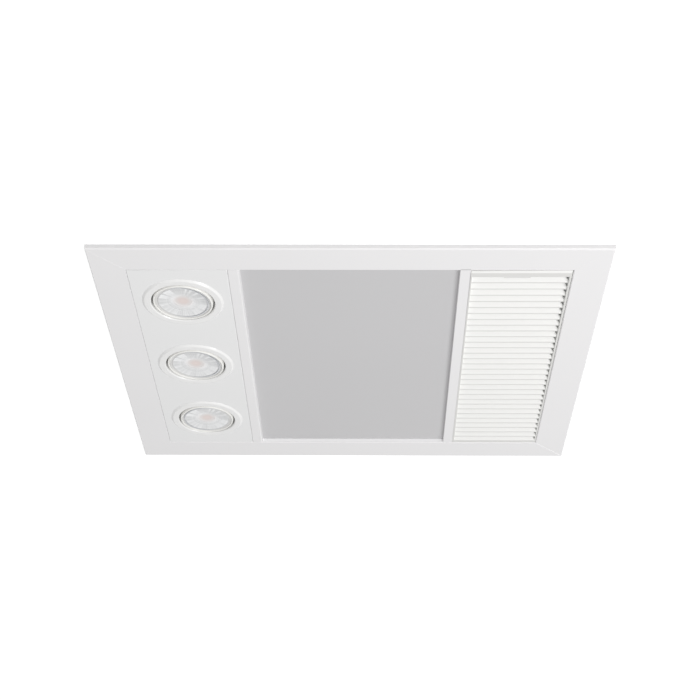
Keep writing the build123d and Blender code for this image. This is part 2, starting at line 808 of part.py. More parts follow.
# Ceiling screws: pan heads below the flange, hidden by the fascia
with BuildPart() as ceiling_screws:
    with BuildSketch(Plane.XY.offset(-sheet)):
        with Locations(*[(i * screw_x, j * screw_y) for i in (-1, 1) for j in (-1, 1)]):
            Circle(screw_head_radius)
    extrude(amount=-screw_head)
    with BuildSketch(Plane.XY.offset(-sheet)):
        with Locations(*[(i * screw_x, j * screw_y) for i in (-1, 1) for j in (-1, 1)]):
            Circle(screw_radius)
    extrude(amount=screw_length)
    chamfer(ceiling_screws.faces().group_by(Axis.Z)[-1].edges(), screw_radius / 2)
    with BuildSketch(Plane.XY.offset(-sheet - screw_head)):
        with Locations(*[(i * screw_x, j * screw_y) for i in (-1, 1) for j in (-1, 1)]):
            Rectangle(2 * screw_radius, screw_slot)
            Rectangle(screw_slot, 2 * screw_radius)
    extrude(amount=screw_slot, mode=Mode.SUBTRACT)
save(ceiling_screws, "ceiling_screws")

# Heater cassette: a sheet bent into three troughs, with lips against the partitions
trough_xs = [trough_pitch * (i - (tube_count - 1) / 2) for i in range(tube_count)]
tube_z = trough_mouth_z + tube_height_in_trough
with BuildPart() as heater_reflector:
    with BuildSketch(Plane.XZ.offset(-reflector_half_length)):
        with Locations((0, trough_mouth_z + reflector_sheet / 2)):
            Rectangle(2 * reflector_edge, reflector_sheet)
        with Locations(*[(x, trough_mouth_z) for x in trough_xs]):
            Circle(trough_radius + reflector_sheet)
        with Locations(*[(x, trough_mouth_z) for x in trough_xs]):
            Circle(trough_radius, mode=Mode.SUBTRACT)
        with Locations((0, trough_mouth_z - trough_radius)):
            Rectangle(2 * reflector_edge, 2 * trough_radius, mode=Mode.SUBTRACT)
        lip_x = reflector_edge - reflector_sheet / 2
        lip_z = trough_mouth_z + reflector_lip / 2
        with Locations((lip_x, lip_z), (-lip_x, lip_z)):
            Rectangle(reflector_sheet, reflector_lip)
    extrude(amount=2 * reflector_half_length)
save(heater_reflector, "heater_reflector")

with BuildPart() as quartz_tubes:
    with BuildSketch(Plane.XZ.offset(-tube_half_length)):
        with Locations(*[(x, tube_z) for x in trough_xs]):
            Circle(tube_radius)
            Circle(tube_radius - tube_wall, mode=Mode.SUBTRACT)
    extrude(amount=2 * tube_half_length)
save(quartz_tubes, "quartz_tubes")

with BuildPart() as tube_filaments:
    with BuildSketch(Plane.XZ.offset(-tube_half_length)):
        with Locations(*[(x, tube_z) for x in trough_xs]):
            Circle(filament_radius)
    extrude(amount=2 * tube_half_length)
save(tube_filaments, "tube_filaments")

# Ceramic caps on the tube ends, held in square holes of the end brackets
bracket_y = tube_half_length - cap_length / 2 + cap_outside_bracket
with BuildPart() as tube_caps:
    for y_sign in (-1, 1):
        with BuildSketch(Plane.XZ.offset(-y_sign * (tube_half_length - cap_length / 2))):
            with Locations(*[(x, tube_z) for x in trough_xs]):
                RectangleRounded(cap_size, cap_size, cap_gap * 10)
        extrude(amount=-y_sign * cap_length)
        with BuildSketch(Plane.XZ.offset(-y_sign * (tube_half_length - cap_length / 2))):
            with Locations(*[(x, tube_z) for x in trough_xs]):
                Circle(tube_radius)
        extrude(amount=-y_sign * cap_length / 2, mode=Mode.SUBTRACT)
save(tube_caps, "tube_caps")

with BuildPart() as tube_brackets:
    bracket_top = tube_z + bracket_top_margin
    bracket_reach = inner_half_y - bracket_y
    for y_sign in (-1, 1):
        with BuildSketch(Plane.XZ.offset(-y_sign * bracket_y)):
            with Locations((0, (trough_mouth_z + bracket_top) / 2)):
                Rectangle(2 * bracket_half_width, bracket_top - trough_mouth_z)
            with Locations(*[(x, tube_z) for x in trough_xs]):
                Rectangle(cap_size + 2 * cap_gap, cap_size + 2 * cap_gap, mode=Mode.SUBTRACT)
        extrude(amount=-y_sign * bracket_sheet)
        with BuildSketch(Plane.XY.offset(bracket_top - bracket_sheet)):
            with Locations((0, y_sign * (bracket_y + bracket_reach / 2))):
                Rectangle(2 * bracket_half_width, bracket_reach)
        extrude(amount=bracket_sheet)
        with BuildSketch(Plane.XZ.offset(-y_sign * inner_half_y)):
            with Locations((0, bracket_top + bracket_foot / 2 - bracket_sheet)):
                Rectangle(2 * bracket_half_width, bracket_foot)
        extrude(amount=y_sign * bracket_sheet)
save(tube_brackets, "tube_brackets")

with BuildPart() as thermal_cutout:
    cutout_y = bracket_y + bracket_sheet + bracket_reach / 2
    with BuildSketch(Plane.XY.offset(bracket_top)):
        with Locations((trough_pitch / 2, cutout_y - bracket_sheet)):
            Circle(cutout_radius)
    extrude(amount=cutout_height - cutout_cap_height)
    with BuildSketch(Plane.XY.offset(bracket_top + cutout_height - cutout_cap_height)):
        with Locations((trough_pitch / 2, cutout_y - bracket_sheet)):
            Circle(cutout_cap_radius)
    extrude(amount=cutout_cap_height)
save(thermal_cutout, "thermal_cutout")

# Blower scroll: a spiral casing with a bell inlet, whose outlet meets the housing's far wall
scroll_top = fan_z + scroll_start_radius + scroll_growth


def scroll_outline(inset, reach):
    """The spiral's outline, drawn inward by the inset, with its outlet ending at the reach."""
    points = []
    for step in range(scroll_steps + 1):
        share = step / scroll_steps
        turn = radians(-270 * share)
        radius = scroll_start_radius + scroll_growth * share - inset
        points.append((fan_y + radius * cos(turn), fan_z + radius * sin(turn)))
    floor_z = fan_z + scroll_tongue + inset
    with BuildLine(mode=Mode.PRIVATE) as outline:
        Spline(*points, tangents=((0, -scroll_start_radius), (scroll_start_radius, 0)))
        Polyline(
            points[-1],
            (reach, scroll_top - inset),
            (reach, floor_z),
            (points[0][0], floor_z),
            points[0],
        )
    return outline.line


with BuildPart() as scroll_casing:
    with BuildSketch(Plane.YZ.offset(scroll_x0)):
        make_face(scroll_outline(0, inner_half_y).edges())
    extrude(amount=scroll_width)
    flange_z = (fan_z + scroll_tongue + scroll_top) / 2
    with BuildSketch(Plane.XZ.offset(-inner_half_y)):
        with Locations((duct_x, flange_z)):
            Rectangle(
                scroll_width + 2 * scroll_flange,
                scroll_top - fan_z - scroll_tongue + 2 * scroll_flange,
            )
    extrude(amount=scroll_wall)
    with BuildSketch(Plane.YZ.offset(scroll_x0 + scroll_wall)):
        make_face(scroll_outline(scroll_wall, inner_half_y + scroll_wall).edges())
    extrude(amount=scroll_width - 2 * scroll_wall, mode=Mode.SUBTRACT)
    with BuildSketch(Plane.YZ.offset(scroll_x0 - inlet_lip)):
        with Locations((fan_y, fan_z)):
            Circle(inlet_radius + scroll_wall)
    extrude(amount=inlet_lip)
    with BuildSketch(Plane.YZ.offset(scroll_x0 - inlet_lip)):
        with Locations((fan_y, fan_z)):
            Circle(inlet_radius)
    extrude(amount=inlet_lip + scroll_wall, mode=Mode.SUBTRACT)
    with BuildSketch(Plane.YZ.offset(scroll_x1 - scroll_wall)):
        with Locations((fan_y, fan_z)):
            Circle(motor_hole_radius)
            with PolarLocations(motor_bolt_circle, motor_bolt_count):
                Circle(motor_bolt_radius)
    extrude(amount=scroll_wall, mode=Mode.SUBTRACT)
save(scroll_casing, "scroll_casing")

# Motor plate, motor and the bolts that hold them to the casing
plate_x = scroll_x1
motor_x = plate_x + motor_plate_thickness
with BuildPart() as motor_plate:
    with BuildSketch(Plane.YZ.offset(plate_x)):
        with Locations((fan_y, fan_z)):
            Circle(motor_plate_radius)
            Circle(motor_plate_bore, mode=Mode.SUBTRACT)
            with PolarLocations(motor_bolt_circle, motor_bolt_count):
                Circle(motor_bolt_radius, mode=Mode.SUBTRACT)
    extrude(amount=motor_plate_thickness)
save(motor_plate, "motor_plate")

with BuildPart() as fan_motor:
    with BuildSketch(Plane.YZ.offset(motor_x)):
        with Locations((fan_y, fan_z)):
            Circle(motor_radius)
    extrude(amount=motor_length)
    fillet(fan_motor.edges().filter_by(GeomType.CIRCLE).sort_by(Axis.X)[-1], motor_edge_radius)
    with BuildSketch(Plane.YZ.offset(motor_x)):
        with Locations((fan_y, fan_z)):
            Circle(motor_boss_radius)
    extrude(amount=-motor_plate_thickness)
    with BuildSketch(Plane.YZ.offset(motor_x - motor_plate_thickness)):
        with Locations((fan_y, fan_z)):
            Circle(shaft_radius + shaft_clearance)
    extrude(amount=motor_plate_thickness + shaft_in_motor, mode=Mode.SUBTRACT)
save(fan_motor, "fan_motor")

with BuildPart() as motor_bolts:
    bolt_spots = [
        (
            fan_y + motor_bolt_circle * cos(radians(360 * i / motor_bolt_count)),
            fan_z + motor_bolt_circle * sin(radians(360 * i / motor_bolt_count)),
        )
        for i in range(motor_bolt_count)
    ]
    with BuildSketch(Plane.YZ.offset(motor_x)):
        with Locations(*bolt_spots):
            Circle(motor_bolt_head_radius)
    extrude(amount=motor_bolt_head)
    with BuildSketch(Plane.YZ.offset(motor_x)):
        with Locations(*bolt_spots):
            Circle(motor_bolt_radius)
    extrude(amount=-(motor_plate_thickness + scroll_wall + motor_bolt_tail))
save(motor_bolts, "motor_bolts")

# Impeller: forward-curved blades between a back disc with its hub and a front ring
drum_x0 = scroll_x0 + scroll_wall + impeller_left_gap
drum_x1 = drum_x0 + impeller_width
with BuildPart() as impeller_disc:
    with BuildSketch(Plane.YZ.offset(drum_x1 - impeller_plate)):
        with Locations((fan_y, fan_z)):
            Circle(impeller_radius)
    extrude(amount=impeller_plate)
    with BuildSketch(Plane.YZ.offset(drum_x1)):
        with Locations((fan_y, fan_z)):
            Circle(hub_radius)
    extrude(amount=-hub_length)
    with BuildSketch(Plane.YZ.offset(drum_x1)):
        with Locations((fan_y, fan_z)):
            Circle(shaft_radius)
    extrude(amount=-hub_length, mode=Mode.SUBTRACT)
save(impeller_disc, "impeller_disc")

with BuildPart() as impeller_ring:
    with BuildSketch(Plane.YZ.offset(drum_x0)):
        with Locations((fan_y, fan_z)):
            Circle(impeller_radius)
            Circle(impeller_inner_radius, mode=Mode.SUBTRACT)
    extrude(amount=impeller_ring_width)
save(impeller_ring, "impeller_ring")

with BuildPart() as impeller_blades:
    with BuildSketch(Plane.YZ.offset(drum_x0 + impeller_ring_width)):
        for blade in range(blade_count):
            turn = radians(360 * blade / blade_count)
            along = Vector(cos(turn), sin(turn))
            across = Vector(-sin(turn), cos(turn))
            hub_centre = Vector(fan_y, fan_z)
            root = hub_centre + along * (impeller_inner_radius + blade_root)
            tip = hub_centre + along * (impeller_radius - blade_root - blade_sweep / 4)
            tip = tip + across * blade_sweep
            middle = (root + tip) * 0.5 + across * -blade_bulge
            with BuildLine():
                ThreePointArc(root, middle, tip)
                Line(tip, tip + across * blade_thickness)
                ThreePointArc(
                    tip + across * blade_thickness,
                    middle + across * blade_thickness,
                    root + across * blade_thickness,
                )
                Line(root + across * blade_thickness, root)
            make_face()
    extrude(amount=impeller_width - impeller_ring_width - impeller_plate)
save(impeller_blades, "impeller_blades")

with BuildPart() as fan_shaft:
    with BuildSketch(Plane.YZ.offset(drum_x1 - hub_length)):
        with Locations((fan_y, fan_z)):
            Circle(shaft_radius)
    extrude(amount=motor_x + shaft_in_motor - shaft_clearance - drum_x1 + hub_length)
save(fan_shaft, "fan_shaft")

# Duct spigot on the far wall, and the weighted shutter that falls closed in it
spigot_y = housing_width / 2
spigot_bore = spigot_radius - spigot_wall
shutter_y = spigot_y + shutter_from_wall
shutter_z = duct_z + shutter_pin_above_axis
pin_top = shutter_pin_above_axis + shutter_pin_radius
pin_half = sqrt(spigot_radius**2 - pin_top**2) - shutter_pin_end_gap
with BuildPart() as duct_spigot:
    with BuildSketch(Plane.XZ.offset(-spigot_y)):
        with Locations((duct_x, duct_z)):
            Circle(spigot_flange_radius)
    extrude(amount=-spigot_wall)
    with BuildSketch(Plane.XZ.offset(-spigot_y)):
        with Locations((duct_x, duct_z)):
            Circle(spigot_radius)
    extrude(amount=-spigot_length)
    with BuildSketch(Plane.XZ.offset(-spigot_y)):
        with Locations((duct_x, duct_z)):
            Circle(spigot_bore)
    extrude(amount=-spigot_length, mode=Mode.SUBTRACT)
    stop_y = shutter_y - shutter_thickness / 2 - shutter_stop_gap
    with BuildSketch(Plane.XZ.offset(-stop_y)):
        with Locations((duct_x, duct_z - spigot_bore)):
            Rectangle(shutter_stop_width, 2 * shutter_stop_height)
        with Locations((duct_x, duct_z)):
            Circle(spigot_radius - spigot_wall / 2, mode=Mode.INTERSECT)
    extrude(amount=spigot_wall)
    with BuildSketch(Plane.YZ.offset(duct_x)):
        with Locations((shutter_y, shutter_z)):
            Circle(shutter_pin_radius)
    extrude(amount=pin_half, both=True, mode=Mode.SUBTRACT)
save(duct_spigot, "duct_spigot")

with BuildPart() as shutter_pin:
    with BuildSketch(Plane.YZ.offset(duct_x)):
        with Locations((shutter_y, shutter_z)):
            Circle(shutter_pin_radius)
    extrude(amount=pin_half, both=True)
save(shutter_pin, "shutter_pin")

with BuildPart() as duct_shutter:
    with BuildSketch(Plane.XZ.offset(-(shutter_y - shutter_thickness / 2))):
        with Locations((duct_x, duct_z)):
            Circle(spigot_bore - shutter_gap)
    extrude(amount=-shutter_thickness)
    barrel_half = sqrt((spigot_bore - shutter_gap) ** 2 - shutter_pin_above_axis**2)
    barrel_half = barrel_half - shutter_gap
    with BuildSketch(Plane.YZ.offset(duct_x)):
        with Locations((shutter_y, shutter_z)):
            Circle(shutter_barrel_radius)
    extrude(amount=barrel_half, both=True)
    with BuildSketch(Plane.YZ.offset(duct_x)):
        with Locations((shutter_y, shutter_z)):
            Circle(shutter_pin_radius + shutter_pin_clearance)
    extrude(amount=spigot_radius, both=True, mode=Mode.SUBTRACT)
save(duct_shutter, "duct_shutter")

# Terminal box on the roof, with its cover, screws, terminal block and cable gland
box_x, box_y, box_z = terminal_box_size
roof_top = housing_height
boss_x = box_x / 2 - terminal_box_wall - cover_boss_radius / 2
boss_y = box_y / 2 - terminal_box_wall - cover_boss_radius / 2
boss_spots = [
    (terminal_box_x + i * boss_x, terminal_box_y + j * boss_y) for i in (-1, 1) for j in (-1, 1)
]
gland_z = roof_top + box_z / 2
gland_face = terminal_box_x - box_x / 2
with BuildPart() as terminal_box:
    with BuildSketch(Plane.XY.offset(roof_top)):
        with Locations((terminal_box_x, terminal_box_y)):
            RectangleRounded(box_x, box_y, cover_boss_radius)
    extrude(amount=box_z)
    with BuildSketch(Plane.XY.offset(roof_top + terminal_box_wall)):
        with Locations((terminal_box_x, terminal_box_y)):
            Rectangle(box_x - 2 * terminal_box_wall, box_y - 2 * terminal_box_wall)
    extrude(amount=box_z, mode=Mode.SUBTRACT)
    with BuildSketch(Plane.XY.offset(roof_top + terminal_box_wall)):
        with Locations(*boss_spots):
            Circle(cover_boss_radius)
    extrude(amount=box_z - terminal_box_wall)
    with BuildSketch(Plane.XY.offset(roof_top + box_z)):
        with Locations(*boss_spots):
            Circle(cover_screw_radius)
    extrude(amount=-cover_screw_length, mode=Mode.SUBTRACT)
    with BuildSketch(Plane.XY.offset(roof_top)):
        with Locations((terminal_box_x, terminal_box_y)):
            Circle(roof_entry_radius)
    extrude(amount=terminal_box_wall, mode=Mode.SUBTRACT)
    with BuildSketch(Plane.YZ.offset(gland_face)):
        with Locations((terminal_box_y, gland_z)):
            Circle(gland_thread_radius + gland_hole_gap)
    extrude(amount=terminal_box_wall, mode=Mode.SUBTRACT)
save(terminal_box, "terminal_box")

with BuildPart() as terminal_cover:
    with BuildSketch(Plane.XY.offset(roof_top + box_z)):
        with Locations((terminal_box_x, terminal_box_y)):
            RectangleRounded(
                box_x + 2 * terminal_cover_margin,
                box_y + 2 * terminal_cover_margin,
                cover_boss_radius,
            )
        with Locations(*boss_spots):
            Circle(cover_screw_radius, mode=Mode.SUBTRACT)
    extrude(amount=terminal_cover_thickness)
save(terminal_cover, "terminal_cover")

with BuildPart() as cover_screws:
    cover_top = roof_top + box_z + terminal_cover_thickness
    with BuildSketch(Plane.XY.offset(cover_top)):
        with Locations(*boss_spots):
            Circle(cover_screw_head_radius)
    extrude(amount=cover_screw_head)
    with BuildSketch(Plane.XY.offset(cover_top + cover_screw_head)):
        with Locations(*boss_spots):
            Rectangle(2 * cover_screw_radius, screw_slot)
            Rectangle(screw_slot, 2 * cover_screw_radius)
    extrude(amount=-screw_slot, mode=Mode.SUBTRACT)
    with BuildSketch(Plane.XY.offset(cover_top)):
        with Locations(*boss_spots):
            Circle(cover_screw_radius)
    extrude(amount=-(terminal_cover_thickness + cover_screw_length))
save(cover_screws, "cover_screws")

with BuildPart() as terminal_block:
    block_x, block_y, block_z = terminal_block_size
    block_floor = roof_top + terminal_box_wall
    block_centre_y = terminal_box_y + box_y / 4 - terminal_box_wall
    way_pitch = block_x / terminal_ways
    way_span = block_x - way_pitch
    with BuildSketch(Plane.XY.offset(block_floor)):
        with Locations((terminal_box_x, block_centre_y)):
            Rectangle(block_x, block_y)
    extrude(amount=block_z)
    with BuildSketch(Plane.XY.offset(block_floor + block_z)):
        with Locations((terminal_box_x, block_centre_y)):
            with GridLocations(way_pitch, block_y / 2, terminal_ways, 2):
                Circle(terminal_well_radius)
    extrude(amount=-terminal_well_depth, mode=Mode.SUBTRACT)
save(terminal_block, "terminal_block")

with BuildPart() as cable_gland:
    with BuildSketch(Plane.YZ.offset(gland_face)):
        with Locations((terminal_box_y, gland_z)):
            RegularPolygon(gland_body_radius, 6)
    extrude(amount=-gland_flange)
    with BuildSketch(Plane.YZ.offset(gland_face - gland_flange)):
        with Locations((terminal_box_y, gland_z)):
            Circle(gland_dome_radius)
    extrude(amount=-(gland_length - gland_flange), taper=10)
    with BuildSketch(Plane.YZ.offset(gland_face)):
        with Locations((terminal_box_y, gland_z)):
            Circle(gland_thread_radius)
    extrude(amount=terminal_box_wall + gland_nut_width)
    with BuildSketch(Plane.YZ.offset(gland_face - gland_length)):
        with Locations((terminal_box_y, gland_z)):
            Circle(gland_bore_radius)
    extrude(amount=gland_length + terminal_box_wall + gland_nut_width, mode=Mode.SUBTRACT)
save(cable_gland, "cable_gland")

with BuildPart() as gland_nut:
    with BuildSketch(Plane.YZ.offset(gland_face + terminal_box_wall)):
        with Locations((terminal_box_y, gland_z)):
            RegularPolygon(gland_body_radius, 6)
            Circle(gland_thread_radius, mode=Mode.SUBTRACT)
    extrude(amount=gland_nut_width)
save(gland_nut, "gland_nut")

# Drivers of the three lamps, on the left partition, and the motor's capacitor on the right one
with BuildPart() as led_drivers:
    driver_x, driver_y, driver_z_size = driver_size
    driver_centre = -(partition_x + sheet / 2 + driver_x / 2)
    driver_z = roof_z - driver_below_roof
    with BuildSketch(Plane.XY.offset(driver_z - driver_z_size / 2)):
        with Locations((driver_centre, 0)):
            with GridLocations(0, driver_y + driver_gap, 1, lamp_count):
                Rectangle(driver_x, driver_y)
    extrude(amount=driver_z_size)
    chamfer(led_drivers.faces().sort_by(Axis.X)[:lamp_count].edges(), driver_edge)
save(led_drivers, "led_drivers")

with BuildPart() as motor_capacitor:
    capacitor_x, capacitor_y_size, capacitor_z_size = capacitor_size
    capacitor_y = capacitor_from_near - inner_half_y
    capacitor_z = roof_z - capacitor_below_roof
    with BuildSketch(Plane.XY.offset(capacitor_z - capacitor_z_size / 2)):
        with Locations((bay_left + capacitor_x / 2, capacitor_y)):
            Rectangle(capacitor_x, capacitor_y_size)
    extrude(amount=capacitor_z_size)
    chamfer(motor_capacitor.faces().sort_by(Axis.X)[-1].edges(), driver_edge)
save(motor_capacitor, "motor_capacitor")
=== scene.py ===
"""A ceiling bathroom heater dressed over its solid model, in metres.

The ceiling plane is z = 0. The white fascia hangs below it and the steel housing stands above it.
X runs from the downlights to the air grille, and Y away from the viewer's side.
"""

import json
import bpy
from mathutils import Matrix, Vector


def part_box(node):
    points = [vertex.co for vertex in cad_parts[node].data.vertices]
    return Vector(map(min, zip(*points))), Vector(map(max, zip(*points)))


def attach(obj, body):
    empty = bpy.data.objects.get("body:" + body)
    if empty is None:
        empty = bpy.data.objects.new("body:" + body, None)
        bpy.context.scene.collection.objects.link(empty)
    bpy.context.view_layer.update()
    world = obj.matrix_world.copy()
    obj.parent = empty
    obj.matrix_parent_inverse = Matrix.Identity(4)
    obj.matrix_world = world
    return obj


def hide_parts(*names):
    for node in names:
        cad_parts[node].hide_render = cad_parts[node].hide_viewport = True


bl_info = {
    "name": "Ceiling Bathroom Heater",
    "version": (1, 0, 0),
    "blender": (4, 5, 0),
    "location": "View3D > Sidebar > Heater",
    "description": "Models and finishes a flush ceiling heater with downlights, a glass window and a grille",
    "category": "Object",
}

from math import atan2, hypot, pi, radians, sin, sqrt
from random import Random

import bmesh
import bpy
from bpy.props import FloatProperty, FloatVectorProperty, IntProperty, PointerProperty
from mathutils import Matrix, Vector

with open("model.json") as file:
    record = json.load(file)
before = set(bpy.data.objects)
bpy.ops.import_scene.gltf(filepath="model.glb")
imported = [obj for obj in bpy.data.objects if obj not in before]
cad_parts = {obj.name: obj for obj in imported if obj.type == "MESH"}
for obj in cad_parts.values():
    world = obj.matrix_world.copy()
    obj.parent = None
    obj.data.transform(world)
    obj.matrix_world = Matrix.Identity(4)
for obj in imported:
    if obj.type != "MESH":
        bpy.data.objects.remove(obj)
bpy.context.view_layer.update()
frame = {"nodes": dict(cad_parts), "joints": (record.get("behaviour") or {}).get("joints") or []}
nodes = frame["nodes"]
joint_places = {joint["name"]: Vector(joint["pos_m"]) for joint in frame["joints"]}
joint_ranges = {joint["name"]: joint.get("range_deg") for joint in frame["joints"]}
near = 1e-5  # how close a point has to be to count as on a line
pole = 1e-7  # radius that stands for none in a turned profile


def size_of(node):
    """The length, breadth and height of one solid."""
    low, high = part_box(node)
    return high - low


# ---------------------------------------------------------------- sizes and colours


def length_property(label, description, default):
    """A length to show in the sidebar."""
    return FloatProperty(name=label, description=description, default=default, unit="LENGTH")


def colour_property(label, description, default):
    """A colour to show in the sidebar."""
    return FloatVectorProperty(name=label, description=description, subtype="COLOR", default=default)


class HeaterSizes(bpy.types.PropertyGroup):
    """The sizes a maker would change."""

    side_border: length_property("Side border", "Width of the fascia's plain border at its two sides", 0.038)
    near_border: length_property("Near border", "Width of the fascia's plain border at its near end", 0.0383)
    far_border: length_property("Far border", "Width of the fascia's plain border at its far end", 0.0362)
    right_growth: length_property("Right growth", "Reach of the fascia's right edge past the solid's", 0.0011)
    far_growth: length_property("Far growth", "Reach of the fascia's far edge past the solid's", 0.0024)
    fascia_wall: length_property("Fascia wall", "Wall thickness of the fascia moulding", 0.002)
    edge_chamfer: length_property("Edge chamfer", "Chamfer of the fascia's outer edges", 0.0013)
    inner_chamfer: length_property(
        "Inner chamfer", "Chamfer of the fascia's far and right inner edges, thrice the others'", 0.0009
    )
    mitre_groove: length_property(
        "Mitre groove", "Depth of the far right corner's open mitre, ten times the closed ones'", 0.0004
    )
    panel_gap: length_property("Panel gap", "Fine gap round the light panel", 0.0002)
    panel_chamfer: length_property(
        "Panel chamfer", "Chamfer of the light panel's right edge, thrice the others'", 0.0013
    )
    lamp_hole: length_property("Lamp hole", "Radius of the panel's holes, under the trim rings", 0.0375)
    grille_side_gap: length_property("Grille gap", "Fine gap between the grille and what it lies in", 0.0005)
    slat_pitch: length_property("Slat pitch", "Distance between neighbouring slats of the grille", 0.0122)
    slat_count: IntProperty(name="Slats", description="Number of slats in the grille", default=31, min=1)
    slat_thickness: length_property("Slat thickness", "Width of each slat's flat lip", 0.0024)
    slat_reach: length_property("Slat reach", "How far each slat slants towards the near end", 0.0096)
    ring_radius: length_property("Lamp ring", "Outer radius of a lamp's trim ring", 0.045)
    ring_bore: length_property("Lamp ring bore", "Inner radius of a lamp's trim ring", 0.0353)
    gimbal_bore: length_property("Gimbal bore", "Inner radius of the tilting ring round a lens", 0.0309)
    ring_depth: length_property("Lamp ring depth", "How far a trim ring stands below the panel", 0.0020)
    flute_count: IntProperty(name="Flutes", description="Ribs round each lamp's lens", default=60, min=8)


class HeaterColours(bpy.types.PropertyGroup):
    """The colours a maker would change."""

    moulding: colour_property("Moulding", "White of the fascia", (0.857, 0.848, 0.853))
    grille: colour_property("Grille", "Warm white of the grille", (0.905, 0.902, 0.885))
    # the lips' darker white is painted shade between the slats
    grille_lip_shade: colour_property("Grille lips", "Duller white of the slats' flat lips", (0.73, 0.725, 0.705))
    lamp_white: colour_property("Lamp rings", "White of the lamp rings", (0.87, 0.868, 0.862))
    glass: colour_property("Glass", "Grey of the heater's window", (0.573, 0.567, 0.575))
    emitter: colour_property("Light source", "Phosphor of the light source", (0.78, 0.68, 0.65))
    steel: colour_property("Housing steel", "Galvanised sheet", (0.5, 0.515, 0.53))


def opening(sizes):
    """The low and high corners, in x and y, of the opening in the fascia."""
    low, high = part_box("fascia_frame")
    return (
        low.x + sizes.side_border,
        low.y + sizes.near_border,
        high.x - sizes.side_border,
        high.y - sizes.far_border,
    )


# ---------------------------------------------------------------- materials


def new_material(name, colour, roughness, metallic=0.0):
    """A material with its main shader, and the nodes and links to build on."""
    material = bpy.data.materials.new(name)
    material.use_nodes = True
    tree = material.node_tree
    shader = tree.nodes["Principled BSDF"]
    shader.inputs["Base Color"].default_value = (*colour, 1)
    shader.inputs["Roughness"].default_value = roughness
    shader.inputs["Metallic"].default_value = metallic
    return material, tree, shader


def object_points(tree):
    """The surface's place in the part's own coordinates."""
    node = tree.nodes.get("Points") or tree.nodes.new("ShaderNodeTexCoord")
    node.name = "Points"
    return node.outputs["Object"]


def noise(tree, scale, detail=3.0, rough=0.5, vector=None):
    """A noise pattern at so many waves to the metre."""
    node = tree.nodes.new("ShaderNodeTexNoise")
    node.inputs["Scale"].default_value = scale
    node.inputs["Detail"].default_value = detail
    node.inputs["Roughness"].default_value = rough
    tree.links.new(vector or object_points(tree), node.inputs["Vector"])
    return node.outputs["Fac"]


def shade(colour, amount):
    """A colour made lighter or darker by a share."""
    return tuple(min(1.0, channel * amount) for channel in colour)


def tinted(tree, shader, factor, colour, low, high):
    """Varies the shader's colour between two shades by a pattern."""
    mix = tree.nodes.new("ShaderNodeMix")
    mix.data_type = "RGBA"
    mix.inputs["A"].default_value = (*shade(colour, low), 1)
    mix.inputs["B"].default_value = (*shade(colour, high), 1)
    tree.links.new(factor, mix.inputs["Factor"])
    tree.links.new(mix.outputs["Result"], shader.inputs["Base Color"])


def bumped(tree, shader, height, strength, distance):
    """Raises the surface by a pattern."""
    bump = tree.nodes.new("ShaderNodeBump")
    bump.inputs["Strength"].default_value = strength
    bump.inputs["Distance"].default_value = distance
    tree.links.new(height, bump.inputs["Height"])
    tree.links.new(bump.outputs["Normal"], shader.inputs["Normal"])


def sheen(tree, shader, pattern, low, high):
    """Varies the shader's roughness between two values by a pattern."""
    node = tree.nodes.new("ShaderNodeMapRange")
    node.inputs["To Min"].default_value = low
    node.inputs["To Max"].default_value = high
    tree.links.new(pattern, node.inputs["Value"])
    tree.links.new(node.outputs["Result"], shader.inputs["Roughness"])


def coat(shader, weight, roughness):
    """Lays a clear coat over the shader."""
    shader.inputs["Coat Weight"].default_value = weight
    shader.inputs["Coat Roughness"].default_value = roughness


def combined(tree, operation, first, second):
    """The outcome of one operation on two values."""
    node = tree.nodes.new("ShaderNodeMath")
    node.operation = operation
    tree.links.new(first, node.inputs[0])
    tree.links.new(second, node.inputs[1])
    return node.outputs[0]


def ramp(tree, factor, stops):
    """A colour picked by a factor from a row of (position, colour) stops."""
    node = tree.nodes.new("ShaderNodeValToRGB")
    ends = node.color_ramp.elements
    ends[0].position, ends[0].color = stops[0][0], (*stops[0][1], 1)
    ends[1].position, ends[1].color = stops[-1][0], (*stops[-1][1], 1)
    for position, colour in stops[1:-1]:
        ends.new(position).color = (*colour, 1)
    tree.links.new(factor, node.inputs["Fac"])
    return node.outputs["Color"]


def attribute(tree, name):
    """A value stored on the points of a mesh."""
    node = tree.nodes.new("ShaderNodeAttribute")
    node.attribute_name = name
    return node.outputs["Fac"]


def moulded_plastic(name, colour, roughness=0.4, grain=1400.0, depth=0.00002, mottle=0.012):
    """Moulded plastic: a fine spark-eroded grain, faint mottling and an uneven sheen."""
    material, tree, shader = new_material(name, colour, roughness)
    tinted(tree, shader, noise(tree, 9.0), colour, 1 - mottle, 1 + mottle)
    sheen(tree, shader, noise(tree, 60.0), roughness - 0.04, roughness + 0.04)
    bumped(tree, shader, noise(tree, grain, 2.0), 0.25, depth)
    return material


def galvanised_sheet(name, colour, roughness=0.38):
    """Hot-dipped sheet steel: spangled grains of zinc with a dull bloom."""
    material, tree, shader = new_material(name, colour, roughness, metallic=0.7)
    cells = tree.nodes.new("ShaderNodeTexVoronoi")
    cells.inputs["Scale"].default_value = 95.0
    cells.inputs["Randomness"].default_value = 1.0
    tree.links.new(object_points(tree), cells.inputs["Vector"])
    grey = tree.nodes.new("ShaderNodeRGBToBW")
    tree.links.new(cells.outputs["Color"], grey.inputs["Color"])
    tinted(tree, shader, grey.outputs["Val"], colour, 0.86, 1.1)
    sheen(tree, shader, grey.outputs["Val"], roughness - 0.08, roughness + 0.12)
    bumped(tree, shader, noise(tree, 240.0), 0.15, 0.00005)
    return material


